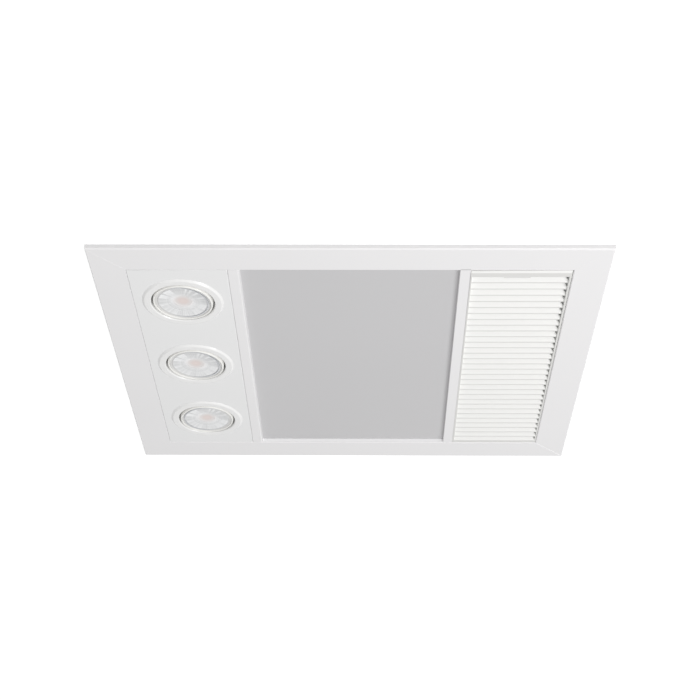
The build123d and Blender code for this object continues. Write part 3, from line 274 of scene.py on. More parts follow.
def bare_metal(name, colour, roughness=0.25, waves=1800.0, strength=0.12):
    """Bare metal with fine drawing lines."""
    material, tree, shader = new_material(name, colour, roughness, metallic=1.0)
    mapping = tree.nodes.new("ShaderNodeMapping")
    mapping.inputs["Scale"].default_value = (0.06, 1.0, 1.0)
    tree.links.new(object_points(tree), mapping.inputs["Vector"])
    lines = noise(tree, waves, 2.0, vector=mapping.outputs["Vector"])
    tinted(tree, shader, lines, colour, 0.93, 1.05)
    sheen(tree, shader, noise(tree, 70.0), roughness - 0.06, roughness + 0.08)
    bumped(tree, shader, lines, strength, 0.00002)
    return material


def cast_metal(name, colour, roughness=0.5):
    """Die-cast metal: a grainy skin with slightly darker hollows."""
    material, tree, shader = new_material(name, colour, roughness, metallic=0.9)
    grains = noise(tree, 520.0, 4.0, 0.6)
    tinted(tree, shader, grains, colour, 0.88, 1.06)
    bumped(tree, shader, grains, 0.3, 0.00008)
    return material


def glass_sheet(name, colour):
    """Grey back-frosted glass: an even satin body under a smooth face."""
    material, tree, shader = new_material(name, colour, 0.32)
    tinted(tree, shader, noise(tree, 5.0, 1.0), colour, 0.985, 1.015)
    sheen(tree, shader, noise(tree, 220.0), 0.3, 0.36)
    coat(shader, 0.25, 0.12)
    bumped(tree, shader, noise(tree, 2600.0, 1.0), 0.08, 0.00001)
    return material


def ribbed_optic(name, glow):
    """Moulded optic of a downlight: pale streaks of painted highlight, darker grey bands towards the rim and
    the light source's tint in the middle, with a painted glow round it.
    """
    material, tree, shader = new_material(name, (0.8, 0.8, 0.8), 0.16)
    share = attribute(tree, "rim_share")
    # painted light by radius: the source's tint in the middle under a painted glow, fading to near white,
    # then darker grey bands towards the rim
    zones = (
        (0.0, shade(glow, 1.04)),
        (0.14, glow),
        (0.28, (0.8, 0.765, 0.755)),
        (0.4, (0.8, 0.8, 0.805)),
        (0.56, (0.68, 0.685, 0.69)),
        (0.6, (0.73, 0.735, 0.74)),
        (0.75, (0.65, 0.655, 0.66)),
        (0.86, (0.67, 0.675, 0.68)),
        (0.9, (0.62, 0.62, 0.615)),
        (0.96, (0.68, 0.675, 0.66)),
        (1.0, (0.74, 0.735, 0.72)),
    )
    # how strongly each rib's painted highlight shows, by radius
    streaks = ((0.3, 0), (0.5, 0.3), (0.68, 0.75), (0.86, 1.0), (0.9, 0))
    ground = ramp(tree, share, zones)
    depth = ramp(tree, share, [(position, (value,) * 3) for position, value in streaks])
    # painted highlights: near white mixed in by each rib's streak light
    mix = tree.nodes.new("ShaderNodeMix")
    mix.data_type = "RGBA"
    mix.inputs["B"].default_value = (0.96, 0.965, 0.97, 1)
    tree.links.new(combined(tree, "MULTIPLY", attribute(tree, "streak_light"), depth), mix.inputs["Factor"])
    tree.links.new(ground, mix.inputs["A"])
    tree.links.new(mix.outputs["Result"], shader.inputs["Base Color"])
    coat(shader, 0.5, 0.05)
    return material


def clear_plastic(name, colour, alpha, roughness):
    """Clear optical plastic, seen through."""
    material, tree, shader = new_material(name, colour, roughness)
    shader.inputs["Alpha"].default_value = alpha
    shader.inputs["Specular IOR Level"].default_value = 0.8
    tinted(tree, shader, noise(tree, 160.0), colour, 0.97, 1.02)
    material.surface_render_method = "BLENDED"
    return material


def rubbery(name, colour, roughness=0.7):
    """Silicone or rubber: dull, with a soft bloom."""
    material, tree, shader = new_material(name, colour, roughness)
    tinted(tree, shader, noise(tree, 90.0), colour, 0.95, 1.04)
    bumped(tree, shader, noise(tree, 900.0), 0.2, 0.00004)
    return material


def painted(name, colour, roughness=0.45):
    """Stoved enamel with a slight orange peel."""
    material, tree, shader = new_material(name, colour, roughness)
    tinted(tree, shader, noise(tree, 25.0), colour, 0.97, 1.03)
    coat(shader, 0.3, 0.2)
    bumped(tree, shader, noise(tree, 420.0, 1.0), 0.15, 0.00006)
    return material


def dress(material, *names):
    """Gives shown solids their finish."""
    for name in names:
        mesh = nodes[name].data
        mesh.materials.clear()
        mesh.materials.append(material)


# ---------------------------------------------------------------- modelling


def clear_selection():
    """Leaves edit mode and deselects every object."""
    if bpy.context.object and bpy.context.object.mode != "OBJECT":
        bpy.ops.object.mode_set(mode="OBJECT")
    bpy.ops.object.select_all(action="DESELECT")


def activate(piece):
    """Makes one piece the only selected object."""
    clear_selection()
    piece.select_set(True)
    bpy.context.view_layer.objects.active = piece


def named(name):
    """Names the object that was just added."""
    piece = bpy.context.object
    piece.name = name
    piece.data.name = name
    return piece


def edit(piece):
    """Enters edit mode on a piece."""
    activate(piece)
    bpy.ops.object.mode_set(mode="EDIT")


def leave_edit():
    """Returns to object mode."""
    bpy.ops.object.mode_set(mode="OBJECT")


def pick(piece, kind, test):
    """Selects the vertices, edges or faces that pass a test of their middle and direction."""
    bpy.ops.mesh.select_mode(type=kind)
    bpy.ops.mesh.select_all(action="DESELECT")
    mesh = bmesh.from_edit_mesh(piece.data)
    if kind == "VERT":
        for vertex in mesh.verts:
            vertex.select_set(bool(test(vertex.co, vertex.normal)))
    elif kind == "EDGE":
        for edge in mesh.edges:
            first, second = (vertex.co for vertex in edge.verts)
            edge.select_set(bool(test((first + second) / 2, second - first)))
    else:
        for face in mesh.faces:
            face.select_set(bool(test(face.calc_center_median(), face.normal)))
    mesh.select_flush_mode()
    bmesh.update_edit_mesh(piece.data)


def pick_all():
    """Selects the whole mesh."""
    bpy.ops.mesh.select_all(action="SELECT")


def shift(piece, test, move):
    """Moves the vertices whose place passes a test."""
    pick(piece, "VERT", lambda at, normal: test(at))
    bpy.ops.transform.translate(value=move)


def chamfer(piece, test, width, segments=1):
    """Bevels the edges that pass a test of their middle and direction."""
    pick(piece, "EDGE", test)
    bpy.ops.mesh.bevel(offset=width, segments=segments)


def extrude_up(height):
    """Extrudes what is selected along Z."""
    bpy.ops.mesh.extrude_region_move(TRANSFORM_OT_translate={"value": (0, 0, height)})


def apply_place():
    """Moves the active object's place, turn and scale into its mesh."""
    bpy.ops.object.transform_apply(location=True, rotation=True, scale=True)


def box_piece(name, low, high):
    """A block between two corners, as a start for shaping."""
    clear_selection()
    low, high = Vector(low), Vector(high)
    bpy.ops.mesh.primitive_cube_add(size=1, location=(low + high) / 2)
    piece = named(name)
    piece.scale = high - low
    apply_place()
    return piece


def inset_sheet(name, length, width, middle, inset):
    """A flat rectangle in edit mode, inset all round, with its inner face selected."""
    clear_selection()
    bpy.ops.mesh.primitive_plane_add(size=1, location=middle)
    piece = named(name)
    piece.scale = (length, width, 1)
    apply_place()
    edit(piece)
    pick_all()
    bpy.ops.mesh.inset(thickness=inset)
    return piece


def join_into(piece, others):
    """Joins other pieces into one."""
    clear_selection()
    for other in (*others, piece):
        other.select_set(True)
    bpy.context.view_layer.objects.active = piece
    bpy.ops.object.join()


def apply_modifier(piece, kind, **settings):
    """Adds one modifier, sets it and applies it."""
    activate(piece)
    modifier = piece.modifiers.new(kind.title(), kind)
    for key, value in settings.items():
        setattr(modifier, key, value)
    bpy.ops.object.modifier_apply(modifier=modifier.name)


def round_edges(piece, width, segments=2, angle=30):
    """Rounds every sharp edge of a piece."""
    limit = {"limit_method": "ANGLE", "angle_limit": radians(angle)}
    apply_modifier(piece, "BEVEL", width=width, segments=segments, **limit)


def cut_away(piece, cutter):
    """Cuts one piece out of another and removes the cutter."""
    apply_modifier(piece, "BOOLEAN", operation="DIFFERENCE", solver="EXACT", object=cutter)
    bpy.data.objects.remove(cutter)


def merge_and_turn_out(piece):
    """Merges doubled points and points every face outwards."""
    edit(piece)
    pick_all()
    bpy.ops.mesh.remove_doubles(threshold=1e-6)
    bpy.ops.mesh.delete_loose(use_verts=False, use_edges=True, use_faces=False)
    pick_all()
    bpy.ops.mesh.normals_make_consistent(inside=False)
    leave_edit()


def turned(name, profile, steps):
    """A ring turned round Z from a closed profile of (radius, height) points."""
    clear_selection()
    radius, height = profile[0]
    bpy.ops.mesh.primitive_circle_add(vertices=steps, radius=radius, location=(0, 0, height))
    piece = named(name)
    apply_place()
    edit(piece)
    pick_all()
    for next_radius, next_height in profile[1:] + profile[:1]:
        extrude_up(next_height - height)
        growth = next_radius / radius
        bpy.ops.transform.resize(value=(growth, growth, 1), center_override=(0, 0, next_height))
        radius, height = next_radius, next_height
    leave_edit()
    merge_and_turn_out(piece)
    return piece


def place(piece, matrix):
    """Moves a finished shape to its place, with the place in its mesh."""
    activate(piece)
    piece.matrix_world = matrix @ piece.matrix_world
    apply_place()


def copied(piece, name):
    """A copy with a mesh of its own."""
    twin = piece.copy()
    twin.data = piece.data.copy()
    twin.name = name
    twin.data.name = name
    bpy.context.scene.collection.objects.link(twin)
    return twin


def settle(piece, material, body, replaced=(), angle=35):
    """Finishes a piece: smooth faces, material, the body it rides on and what it stands for."""
    activate(piece)
    bpy.ops.object.shade_smooth_by_angle(angle=radians(angle))
    apply_modifier(piece, "WEIGHTED_NORMAL", keep_sharp=True, weight=80)
    piece.data.materials.clear()
    piece.data.materials.append(material)
    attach(piece, body)
    if replaced:
        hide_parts(*replaced)


def second_material(piece, material, test):
    """Gives a second material to the faces that pass a test of their middle and direction."""
    piece.data.materials.append(material)
    edit(piece)
    pick(piece, "FACE", test)
    piece.active_material_index = len(piece.data.materials) - 1
    bpy.ops.object.material_slot_assign()
    leave_edit()


def lamp_matrix(number):
    """The tilting frame of a lamp: its pivot, with Z up the lamp, a third as far off level as its solids."""
    pivot = joint_places[f"lamp_{number}_tilt"]
    low, high = joint_ranges[f"lamp_{number}_tilt"]
    rest = -(low + high) / 6
    return Matrix.Translation(pivot) @ Matrix.Rotation(radians(rest), 4, "Y")


def ring_matrix(number):
    """The level frame of a lamp's trim ring, in the ceiling plane."""
    x, y = joint_places[f"lamp_{number}_tilt"].xy
    return Matrix.Translation((x, y, 0))


def set_in_lamps(forms, body="lamp_{}", matrix=lamp_matrix):
    """Sets finished copies of some forms in each of the three lamps, and removes the forms."""
    for number in (1, 2, 3):
        for form, name, material, slot, node, angle in forms:
            piece = copied(form, f"{name}_{number}")
            place(piece, matrix(number))
            settle(piece, material, body.format(number), [f"{node}_{number}"], angle)
    for form, *_ in forms:
        bpy.data.objects.remove(form)


# ---------------------------------------------------------------- pieces


class HEATER_OT_fascia(bpy.types.Operator):
    """Model the fascia surround with its mitre lines, and the left divider bar"""

    bl_idname = "heater.fascia"
    bl_label = "Fascia"

    def execute(self, context):
        sizes = context.scene.heater_sizes
        colours = context.scene.heater_colours
        low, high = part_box("fascia_frame")
        length, width, depth = high - low
        return_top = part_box("glass_gasket")[0].z
        left, near_end, right, far_end = opening(sizes)
        piece = inset_sheet("fascia_surround", length, width, (0, 0, low.z), sizes.side_border)
        end_growth = (far_end - near_end) / (width - 2 * sizes.side_border)
        bpy.ops.transform.resize(value=(1, end_growth, 1), center_override=(0, 0, low.z))
        bpy.ops.transform.translate(value=(0, (near_end + far_end) / 2, 0))
        bpy.ops.mesh.delete(type="FACE")

        def outside(at):
            return abs(at.x) > length / 2 - near or abs(at.y) > width / 2 - near

        def rims_opening(at, along):
            inside = left - near < at.x < right + near and near_end - near < at.y < far_end + near
            return at.z < low.z + near and inside and min(abs(along.x), abs(along.y)) < near

        pick(piece, "EDGE", lambda at, along: outside(at))
        extrude_up(depth)
        pick(piece, "EDGE", rims_opening)
        extrude_up(return_top - low.z)
        leave_edit()
        merge_and_turn_out(piece)
        edit(piece)
        pick(piece, "FACE", lambda at, normal: at.z < low.z + near and normal.z > 0)
        if any(face.select for face in bmesh.from_edit_mesh(piece.data).faces):
            pick_all()
            bpy.ops.mesh.flip_normals()
        shift(piece, lambda at: at.x > length / 2 - near, (sizes.right_growth, 0, 0))
        shift(piece, lambda at: at.y > width / 2 - near, (0, sizes.far_growth, 0))
        leave_edit()
        apply_modifier(piece, "SOLIDIFY", thickness=sizes.fascia_wall, offset=-1, use_even_offset=True)
        edit(piece)
        chamfer(piece, lambda at, along: at.z < low.z + near and outside(at), sizes.edge_chamfer)
        for side_x, end_y, offset in (
            (right, far_end, sizes.inner_chamfer),
            (left, near_end, sizes.inner_chamfer / 3),
        ):
            chamfer(
                piece,
                lambda at, along: rims_opening(at, along)
                and (abs(at.x - side_x) < near or abs(at.y - end_y) < near),
                offset,
            )
        leave_edit()
        round_edges(piece, 0.0002)
        groove_stop = 0.0018
        for x_sign in (-1, 1):
            for y_sign in (-1, 1):
                border = sizes.far_border if y_sign > 0 else sizes.near_border
                groove = sizes.mitre_groove if x_sign > 0 and y_sign > 0 else sizes.mitre_groove / 10
                reach = hypot(sizes.side_border, border) / 2 - groove_stop
                cutter = box_piece("mitre_cutter", (-reach, -groove, -groove), (reach, groove, groove))
                place(cutter, Matrix.Rotation(radians(45), 4, "X"))
                corner_x = x_sign * (length / 2 - sizes.side_border / 2)
                middle = Vector((corner_x, y_sign * (width / 2 - border / 2), low.z))
                turned_to = Matrix.Rotation(atan2(border, sizes.side_border) * x_sign * y_sign, 4, "Z")
                place(cutter, Matrix.Translation(middle) @ turned_to)
                cut_away(piece, cutter)
        white = moulded_plastic("white_moulding", tuple(colours.moulding), 0.24)
        settle(piece, white, "root", ["fascia_frame"])
        dress(white, "right_divider")
        # left divider: a channel with a chamfer towards the window
        low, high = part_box("left_divider")
        bar = box_piece("divider_bar", (low.x, near_end, low.z), (high.x, far_end, high.z))
        edit(bar)
        window_side, panel_side = 0.0013, 0.0003
        chamfer(bar, lambda at, along: at.z < low.z + near and at.x > high.x - near, window_side)
        chamfer(bar, lambda at, along: at.z < low.z + near and at.x < low.x + near, panel_side, 2)
        pick(bar, "FACE", lambda at, normal: normal.z > 0.9)
        bpy.ops.mesh.inset(thickness=sizes.fascia_wall)
        extrude_up(sizes.fascia_wall - size_of("left_divider").z)
        leave_edit()
        merge_and_turn_out(bar)
        settle(bar, white, "root", ["left_divider"])
        return {"FINISHED"}


class HEATER_OT_light_panel(bpy.types.Operator):
    """Model the plain panel with its three lamp holes, chamfered edges and tongues"""

    bl_idname = "heater.light_panel"
    bl_label = "Light panel"

    def execute(self, context):
        sizes = context.scene.heater_sizes
        low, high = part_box("light_panel")
        face_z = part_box("fascia_frame")[0].z
        glass_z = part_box("heater_glass")[0].z
        middle = (low.x + high.x) / 2
        left, near_end, right, far_end = opening(sizes)
        left += sizes.panel_gap
        right = 2 * middle - left
        near_end += sizes.panel_gap
        far_end -= sizes.panel_gap
        piece = box_piece("light_plate", (left, near_end, face_z), (right, far_end, glass_z))
        edit(piece)
        width = sizes.panel_chamfer
        chamfer(piece, lambda at, along: at.z < face_z + near and at.x > right - near, width)
        chamfer(piece, lambda at, along: at.z < face_z + near and at.x < right - 2 * width, width / 3, 2)
        leave_edit()
        wall = sizes.fascia_wall
        hollow_low = (left + wall, near_end + wall, face_z + wall)
        cut_away(piece, box_piece("plate_hollow", hollow_low, (right - wall, far_end - wall, glass_z + 0.01)))
        for number in (1, 2, 3):
            hole_y = joint_places[f"lamp_{number}_tilt"].y
            clear_selection()
            bpy.ops.mesh.primitive_cylinder_add(
                vertices=96, radius=sizes.lamp_hole, depth=0.02, location=(middle, hole_y, face_z)
            )
            cut_away(piece, named("hole_cutter"))
        tongue_place, tongue_half = 0.027, 0.009
        tongues = [
            box_piece("tongue", (x - tongue_half, start, glass_z), (x + tongue_half, end, high.z))
            for x in (middle - tongue_place, middle + tongue_place)
            for start, end in ((low.y, near_end + wall), (far_end - wall, high.y))
        ]
        join_into(piece, tongues)
        settle(piece, bpy.data.materials["white_moulding"], "root", ["light_panel"])
        return {"FINISHED"}


class HEATER_OT_window(bpy.types.Operator):
    """Finish the grey glass window and its gasket, and model the rim round them"""

    bl_idname = "heater.window"
    bl_label = "Window"

    def execute(self, context):
        colours = context.scene.heater_colours
        sizes = context.scene.heater_sizes
        dress(glass_sheet("grey_glass", tuple(colours.glass)), "heater_glass")
        left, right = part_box("left_divider")[1].x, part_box("right_divider")[0].x
        near_end, far_end = opening(sizes)[1::2]
        edge, rise = 0.0001, 0.0013
        bottom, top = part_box("fascia_frame")[0].z + rise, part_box("heater_glass")[0].z - edge
        outer_edge = 1.5 * edge
        middle = ((left + right) / 2, (near_end + far_end) / 2)
        length, width = right - left - 2 * edge, far_end - near_end - 2 * edge
        piece = inset_sheet("window_rim", length, width, (*middle, bottom), edge)
        bpy.ops.mesh.delete(type="FACE")
        pick_all()
        extrude_up(top - bottom)

        def inner(at):
            between_sides = left + outer_edge < at.x < right - outer_edge
            return between_sides and near_end + outer_edge < at.y < far_end - outer_edge

        # the inner walls, but for the near one, lean in a little towards the glass
        for test, move in (
            (lambda at: at.x < middle[0], (0.0007, 0, 0)),
            (lambda at: at.x > middle[0], (-0.0001, 0, 0)),
            (lambda at: at.y > middle[1], (0, -0.0003, 0)),
        ):
            shift(piece, lambda at: at.z > top - near and inner(at) and test(at), move)
        leave_edit()
        merge_and_turn_out(piece)
        # the rim is a brighter white than the fascia: painted light on the recess walls
        rim_painted_light = moulded_plastic("rim_moulding_painted_light", (0.94, 0.935, 0.94), 0.24)
        settle(piece, rim_painted_light, "root")
        dress(rubbery("white_silicone", (0.72, 0.72, 0.71)), "glass_gasket")
        return {"FINISHED"}


class HEATER_OT_lamp_rings(bpy.types.Operator):
    """Model the trim rings and gimbals of the downlights, and finish their pivots and springs"""

    bl_idname = "heater.lamp_rings"
    bl_label = "Lamp rings"

    def execute(self, context):
        sizes = context.scene.heater_sizes
        colours = context.scene.heater_colours
        white = painted("ring_enamel", tuple(colours.lamp_white), 0.2)
        cream = painted("gimbal_enamel", (0.9, 0.893, 0.865), 0.2)
        face_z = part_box("fascia_frame")[0].z - 0.00005
        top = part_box("trim_ring_1")[1].z
        front = face_z - sizes.ring_depth
        outer, bore, collar = sizes.ring_radius, sizes.ring_bore, sizes.ring_bore + 0.0015
        profile = [
            (bore, top), (bore, front + 0.0010), (bore + 0.0008, front + 0.0001),
            (bore + 0.0012, front), (outer - 0.0025, front), (outer - 0.0021, front + 0.0001),
            (outer - 0.0001, face_z - 0.0001), (outer, face_z), (collar, face_z), (collar, top),
        ]
        form = turned("ring_form", profile, 160)
        set_in_lamps([(form, "lamp_trim", white, "white_moulding", "trim_ring", 40)], "root", ring_matrix)
        # gimbal: its outer wall is a zone of a ball
        ball, bore = size_of("gimbal_ring_1").y / 2, sizes.gimbal_bore
        heights = [-0.0062, -0.0045, -0.0025, 0.0, 0.0025, 0.0045, 0.0065]
        profile = [
            (bore, 0.0065), (bore, -0.0060), (bore + 0.0002, -0.0066), (bore + 0.0007, -0.0070),
            (bore + 0.0014, -0.0070), (bore + 0.0019, -0.0067),
            *((sqrt(ball * ball - z * z), z) for z in heights),
        ]
        form = turned("gimbal_form", profile, 160)
        set_in_lamps([(form, "lamp_gimbal", cream, "white_moulding", "gimbal_ring", 40)])
        dress(bare_metal("pivot_steel", (0.7, 0.7, 0.7), 0.3), "gimbal_pivots")
        dress(bare_metal("spring_steel", (0.55, 0.56, 0.58), 0.35), "lamp_springs", "fascia_clips")
        return {"FINISHED"}


class HEATER_OT_lamps(bpy.types.Operator):
    """Model the ribbed optic, reflector and light source of each downlight"""

    bl_idname = "heater.lamps"
    bl_label = "Lamps"

    def execute(self, context):
        sizes = context.scene.heater_sizes
        colours = context.scene.heater_colours
        optic_finish = ribbed_optic("ribbed_optic", tuple(colours.emitter))
        bright = bare_metal("bright_reflector", (0.9, 0.9, 0.9), 0.16, 900.0, 0.05)
        phosphor = moulded_plastic("phosphor", tuple(colours.emitter), 0.5, 2600.0, 0.00004, 0.03)
        steps = sizes.flute_count * 2
        rim = sizes.gimbal_bore - 0.0001
        profile_rim = 0.0279
        growth = rim / profile_rim
        optic_profile = [
            (pole, -0.00320), (0.0030, -0.00323), (0.0060, -0.00333), (0.0084, -0.00345),
            (0.0088, -0.00365), (0.0110, -0.00372), (0.0114, -0.00392), (0.0138, -0.00405),
            (0.0142, -0.00425), (0.0164, -0.00437), (0.0168, -0.00457), (0.0192, -0.00475),
            (0.0218, -0.00512), (0.0243, -0.00549), (0.0250, -0.00570), (0.0256, -0.00520),
            (0.0266, -0.00545), (0.0276, -0.00595), (0.0279, -0.00580), (0.0279, -0.00400),
            (0.0200, -0.00180), (0.0090, 0.0), (pole, 0.0),
        ]
        optic = turned("optic_form", [(radius * growth, z) for radius, z in optic_profile], steps)
        rib_start, rib_end, rib_depth = 0.0086, 0.0245, 0.0003

        def step_of(at):
            return round(atan2(at.y, at.x) / (2 * pi) * steps)

        edit(optic)
        pick(
            optic,
            "VERT",
            lambda at, normal: step_of(at) % 2 == 0
            and rib_start < hypot(at.x, at.y) / growth < rib_end
            and normal.z < 0,
        )
        bpy.ops.transform.translate(value=(0, 0, -rib_depth))
        leave_edit()
        # each rib's painted highlight: uneven bright streaks at the near side, an even painted glow at the
        # far side
        mesh = optic.data
        share = mesh.attributes.new("rim_share", "FLOAT", "POINT")
        streak_light = mesh.attributes.new("streak_light", "FLOAT", "POINT")
        uneven = Random(5)
        near_side, far_side = -0.3, 0.2
        lightness = []
        for flute in range(sizes.flute_count):
            facing = sin(2 * pi * flute / sizes.flute_count)
            draw = uneven.random()
            if facing < near_side:
                value = 0.75 + draw / 4 if draw > 0.5 else draw / 10
            elif facing > far_side:
                value = 0.35 + draw / 2
            else:
                value = draw / 3
            lightness += [value, value * 0.85]
        for vertex in mesh.vertices:
            share.data[vertex.index].value = hypot(*vertex.co.xy) / rim
            streak_light.data[vertex.index].value = lightness[step_of(vertex.co) % steps]
        cone_profile = [
            (0.0274, -0.0041), (0.0262, -0.0020), (0.0225, 0.0010), (0.0185, 0.0035),
            (0.0150, 0.0070), (0.0120, 0.0100), (0.0087, 0.0126), (0.0095, 0.0128),
            (0.0158, 0.0074), (0.0278, -0.0038),
        ]
        cone = turned("cone_form", cone_profile, steps)
        source_profile = [
            (pole, 0.0119), (0.0040, 0.0120), (0.0064, 0.0122), (0.0070, 0.0125),
            (0.0072, 0.0128), (0.0122, 0.0128), (0.0124, 0.0130), (0.0124, 0.0143),
            (pole, 0.0143),
        ]
        source = turned("source_form", source_profile, 64)
        set_in_lamps(
            (
                (optic, "lens", optic_finish, "clear_lens", "lamp_lens", 12),
                (cone, "reflector", bright, "bright_aluminium", "lamp_reflector", 20),
                (source, "light_source", phosphor, "led_phosphor", "led_chip", 35),
            )
        )
        cast = cast_metal("lamp_casting", (0.62, 0.63, 0.65))
        dress(cast, *[f"lamp_heatsink_{number}" for number in (1, 2, 3)])
        return {"FINISHED"}


class HEATER_OT_grille(bpy.types.Operator):
    """Model the air grille: a frame with slanted, round-lipped slats and a finger tab"""

    bl_idname = "heater.grille"
    bl_label = "Grille"

    def execute(self, context):
        sizes = context.scene.heater_sizes
        colours = context.scene.heater_colours
        low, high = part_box("air_grille")
        middle_x = (low.x + high.x) / 2
        height = high.z - low.z
        skew = radians(0.18)
        near_end, right_side, far_end = opening(sizes)[1:]
        middle_y = (near_end + far_end) / 2
        length = far_end - near_end - 2 * sizes.grille_side_gap
        width = right_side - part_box("right_divider")[1].x - 2 * sizes.grille_side_gap
        left_rail, right_rail = 0.0014, 0.0022
        near_border, far_border = 0.0106, 0.0030
        near_drop, slope_drop, slope_width = 0.0010, 0.0017, 0.0035
        slat_left = -width / 2 + left_rail
        slat_right = width / 2 - right_rail
        # frame: a flat ring raised to its height
        piece = inset_sheet("louvre_grille", width, length, (0, 0, 0), left_rail)
        bpy.ops.mesh.delete(type="FACE")
        inner_x, inner_y = width / 2 - left_rail, length / 2 - left_rail
        for test, move in (
            (lambda at: at.x > inner_x - near, (left_rail - right_rail, 0, 0)),
            (lambda at: at.y < near - inner_y, (0, near_border - left_rail, 0)),
            (lambda at: at.y > inner_y - near, (0, left_rail - far_border, 0)),
        ):
            shift(
                piece,
                lambda at: abs(at.x) < inner_x + near and abs(at.y) < inner_y + near and test(at),
                move,
            )
        pick_all()
        extrude_up(height)
        leave_edit()
        merge_and_turn_out(piece)
        # near bar: it stands proud, with a bright slope at its near edge and a leaning back wall
        thickness, lean = sizes.slat_thickness, sizes.slat_reach
        start, end = -length / 2, near_border - length / 2
        edit(piece)
        pick_all()
        bpy.ops.mesh.bisect(plane_co=(0, start + slope_width, 0), plane_no=(0, 1, 0))
        shift(piece, lambda at: at.z < near and at.y < start + near, (0, 0, -near_drop))
        shift(piece, lambda at: abs(at.z) < near and start + near < at.y < end + near, (0, 0, -slope_drop))
        shift(piece, lambda at: at.z > height - near and abs(at.y - end) < near, (0, -lean * 0.9, 0))
        leave_edit()
        round_edges(piece, 0.0003, 3, 60)
        # finger tab on the bar's far edge
        tab_x, tab_half, tab_lap, tab_reach, tab_sheet = -0.0042, 0.0145, 0.0004, 0.0017, 0.0012
        tab = box_piece(
            "finger_tab",
            (tab_x - tab_half, end - tab_lap, -slope_drop),
            (tab_x + tab_half, end + tab_reach, tab_sheet - slope_drop),
        )
        round_edges(tab, 0.0003, angle=60)
        # the frame is a little out of square: its near left corner stands back, its far corners lie left
        edit(piece)
        side = width / 2 - left_rail / 2
        corner = length / 2 - 0.0019
        shift(piece, lambda at: at.x < -side and at.y < -corner, (0.0003, 0.0008, 0))
        shift(piece, lambda at: at.x < -side and at.y > corner, (-0.0009, 0, 0))
        shift(piece, lambda at: at.x > side and at.y > corner, (-0.0004, 0, 0))
        leave_edit()
        # one slat, leaning back towards the near end
        sunk = 0.0002
        slat = box_piece("slat", (slat_left - sunk, -thickness, 0), (slat_right + sunk, 0, height))
        edit(slat)
        shift(slat, lambda at: at.z > height / 2, (0, -lean, 0))
        shift(slat, lambda at: at.z > height / 2 and at.y > -lean - thickness / 2, (0, -thickness / 2, 0))
        leave_edit()
        round_edges(slat, 0.00025, angle=40)
        slat_start = 0.0139
        first_y = low.y + slat_start + sizes.slat_pitch - middle_y
        # its right end is cut back at a slant behind its lip
        root, end_gap, slant, clear, reach = 0.0027, 0.0046, 0.0054, 0.002, 0.03
        cutter = box_piece(
            "slat_cutter",
            (slat_right - end_gap, -reach, -clear),
            (slat_right + clear / 2, -root, height + clear),
        )
        edit(cutter)
        shift(cutter, lambda at: at.x < slat_right - end_gap / 2 and at.y > -reach / 2, (0, -slant, 0))
        leave_edit()
        merge_and_turn_out(cutter)
        cut_away(slat, cutter)
        place(slat, Matrix.Translation((0, first_y, 0)))
        step = {"use_constant_offset": True, "constant_offset_displace": (0, sizes.slat_pitch, 0)}
        apply_modifier(slat, "ARRAY", count=sizes.slat_count, use_relative_offset=False, **step)
        join_into(piece, (slat, tab))
        place(piece, Matrix.Translation((middle_x, middle_y, low.z)) @ Matrix.Rotation(-skew, 4, "Z"))
        white = moulded_plastic("grille_moulding", tuple(colours.grille), 0.3)
        settle(piece, white, "grille", ["air_grille"])
        # the flat lips get a darker white: painted shade between the slats
        lip_shade = moulded_plastic("grille_lips_painted_shade", tuple(colours.grille_lip_shade), 0.3)
        second_material(piece, lip_shade, lambda at, normal: normal.z < -0.98 and at.z < low.z + 0.0002)
        dress(bare_metal("pin_steel", (0.7, 0.7, 0.7), 0.3), "grille_hinge_pins")
        return {"FINISHED"}


class HEATER_OT_housing(bpy.types.Operator):
    """Finish the housing, flange, partitions and screws, and model the folded roof rim and rivets"""

    bl_idname = "heater.housing"
    bl_label = "Housing"

    def execute(self, context):
        colours = context.scene.heater_colours
        steel = galvanised_sheet("galvanised", tuple(colours.steel))
        dress(steel, "housing", "mounting_flange", "left_partition", "right_partition")
        dress(bare_metal("screw_zinc", (0.72, 0.72, 0.7), 0.3), "ceiling_screws")
        # folded rim of the roof sheet, lapped over the walls
        low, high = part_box("housing")
        lap, sheet, gap = 0.014, 0.0008, 0.0001
        outer_x, outer_y = high.x + gap + sheet, high.y + gap + sheet
        rim = box_piece(
            "roof_rim",
            (low.x - gap - sheet, -outer_y, high.z - lap),
            (outer_x, outer_y, high.z + 0.0003),
        )
        edit(rim)
        pick(rim, "FACE", lambda at, normal: abs(normal.z) > 0.9)
        bpy.ops.mesh.inset(thickness=sheet)
        bpy.ops.mesh.delete(type="FACE")
        pick(
            rim,
            "EDGE",
            lambda at, along: abs(at.x) < high.x + gap + near
            and abs(at.y) < high.y + gap + near
            and abs(along.z) < near,
        )
        bpy.ops.mesh.bridge_edge_loops()
        leave_edit()
        merge_and_turn_out(rim)
        round_edges(rim, 0.0003, angle=60)
        settle(rim, steel, "root")
        # blind rivets through the lap
        profile = [
            (pole, 0.0015), (0.0012, 0.0014), (0.0022, 0.0011), (0.0030, 0.0004), (0.0031, 0.0),
            (pole, 0.0),
        ]
        head = turned("rivet_form", profile, 20)
        zinc = bare_metal("rivet_aluminium", (0.6, 0.6, 0.6), 0.4)
        places = [(sign, share) for sign in (-1, 1) for share in (-0.8, -0.4, 0.0, 0.4, 0.8)]
        spots = [(sign * outer_x, share * high.y, "Y", 90 * sign) for sign, share in places]
        spots += [(share * high.x, sign * outer_y, "X", -90 * sign) for sign, share in places]
        rivets = []
        for x, y, axis, turn in spots:
            rivet = copied(head, f"rivet_{len(rivets)}")
            middle = Matrix.Translation((x, y, high.z - lap / 2))
            place(rivet, middle @ Matrix.Rotation(radians(turn), 4, axis))
            rivets.append(rivet)
        bpy.data.objects.remove(head)
        join_into(rivets[0], rivets[1:])
        settle(named("roof_rivets"), zinc, "root", (), 50)
        return {"FINISHED"}


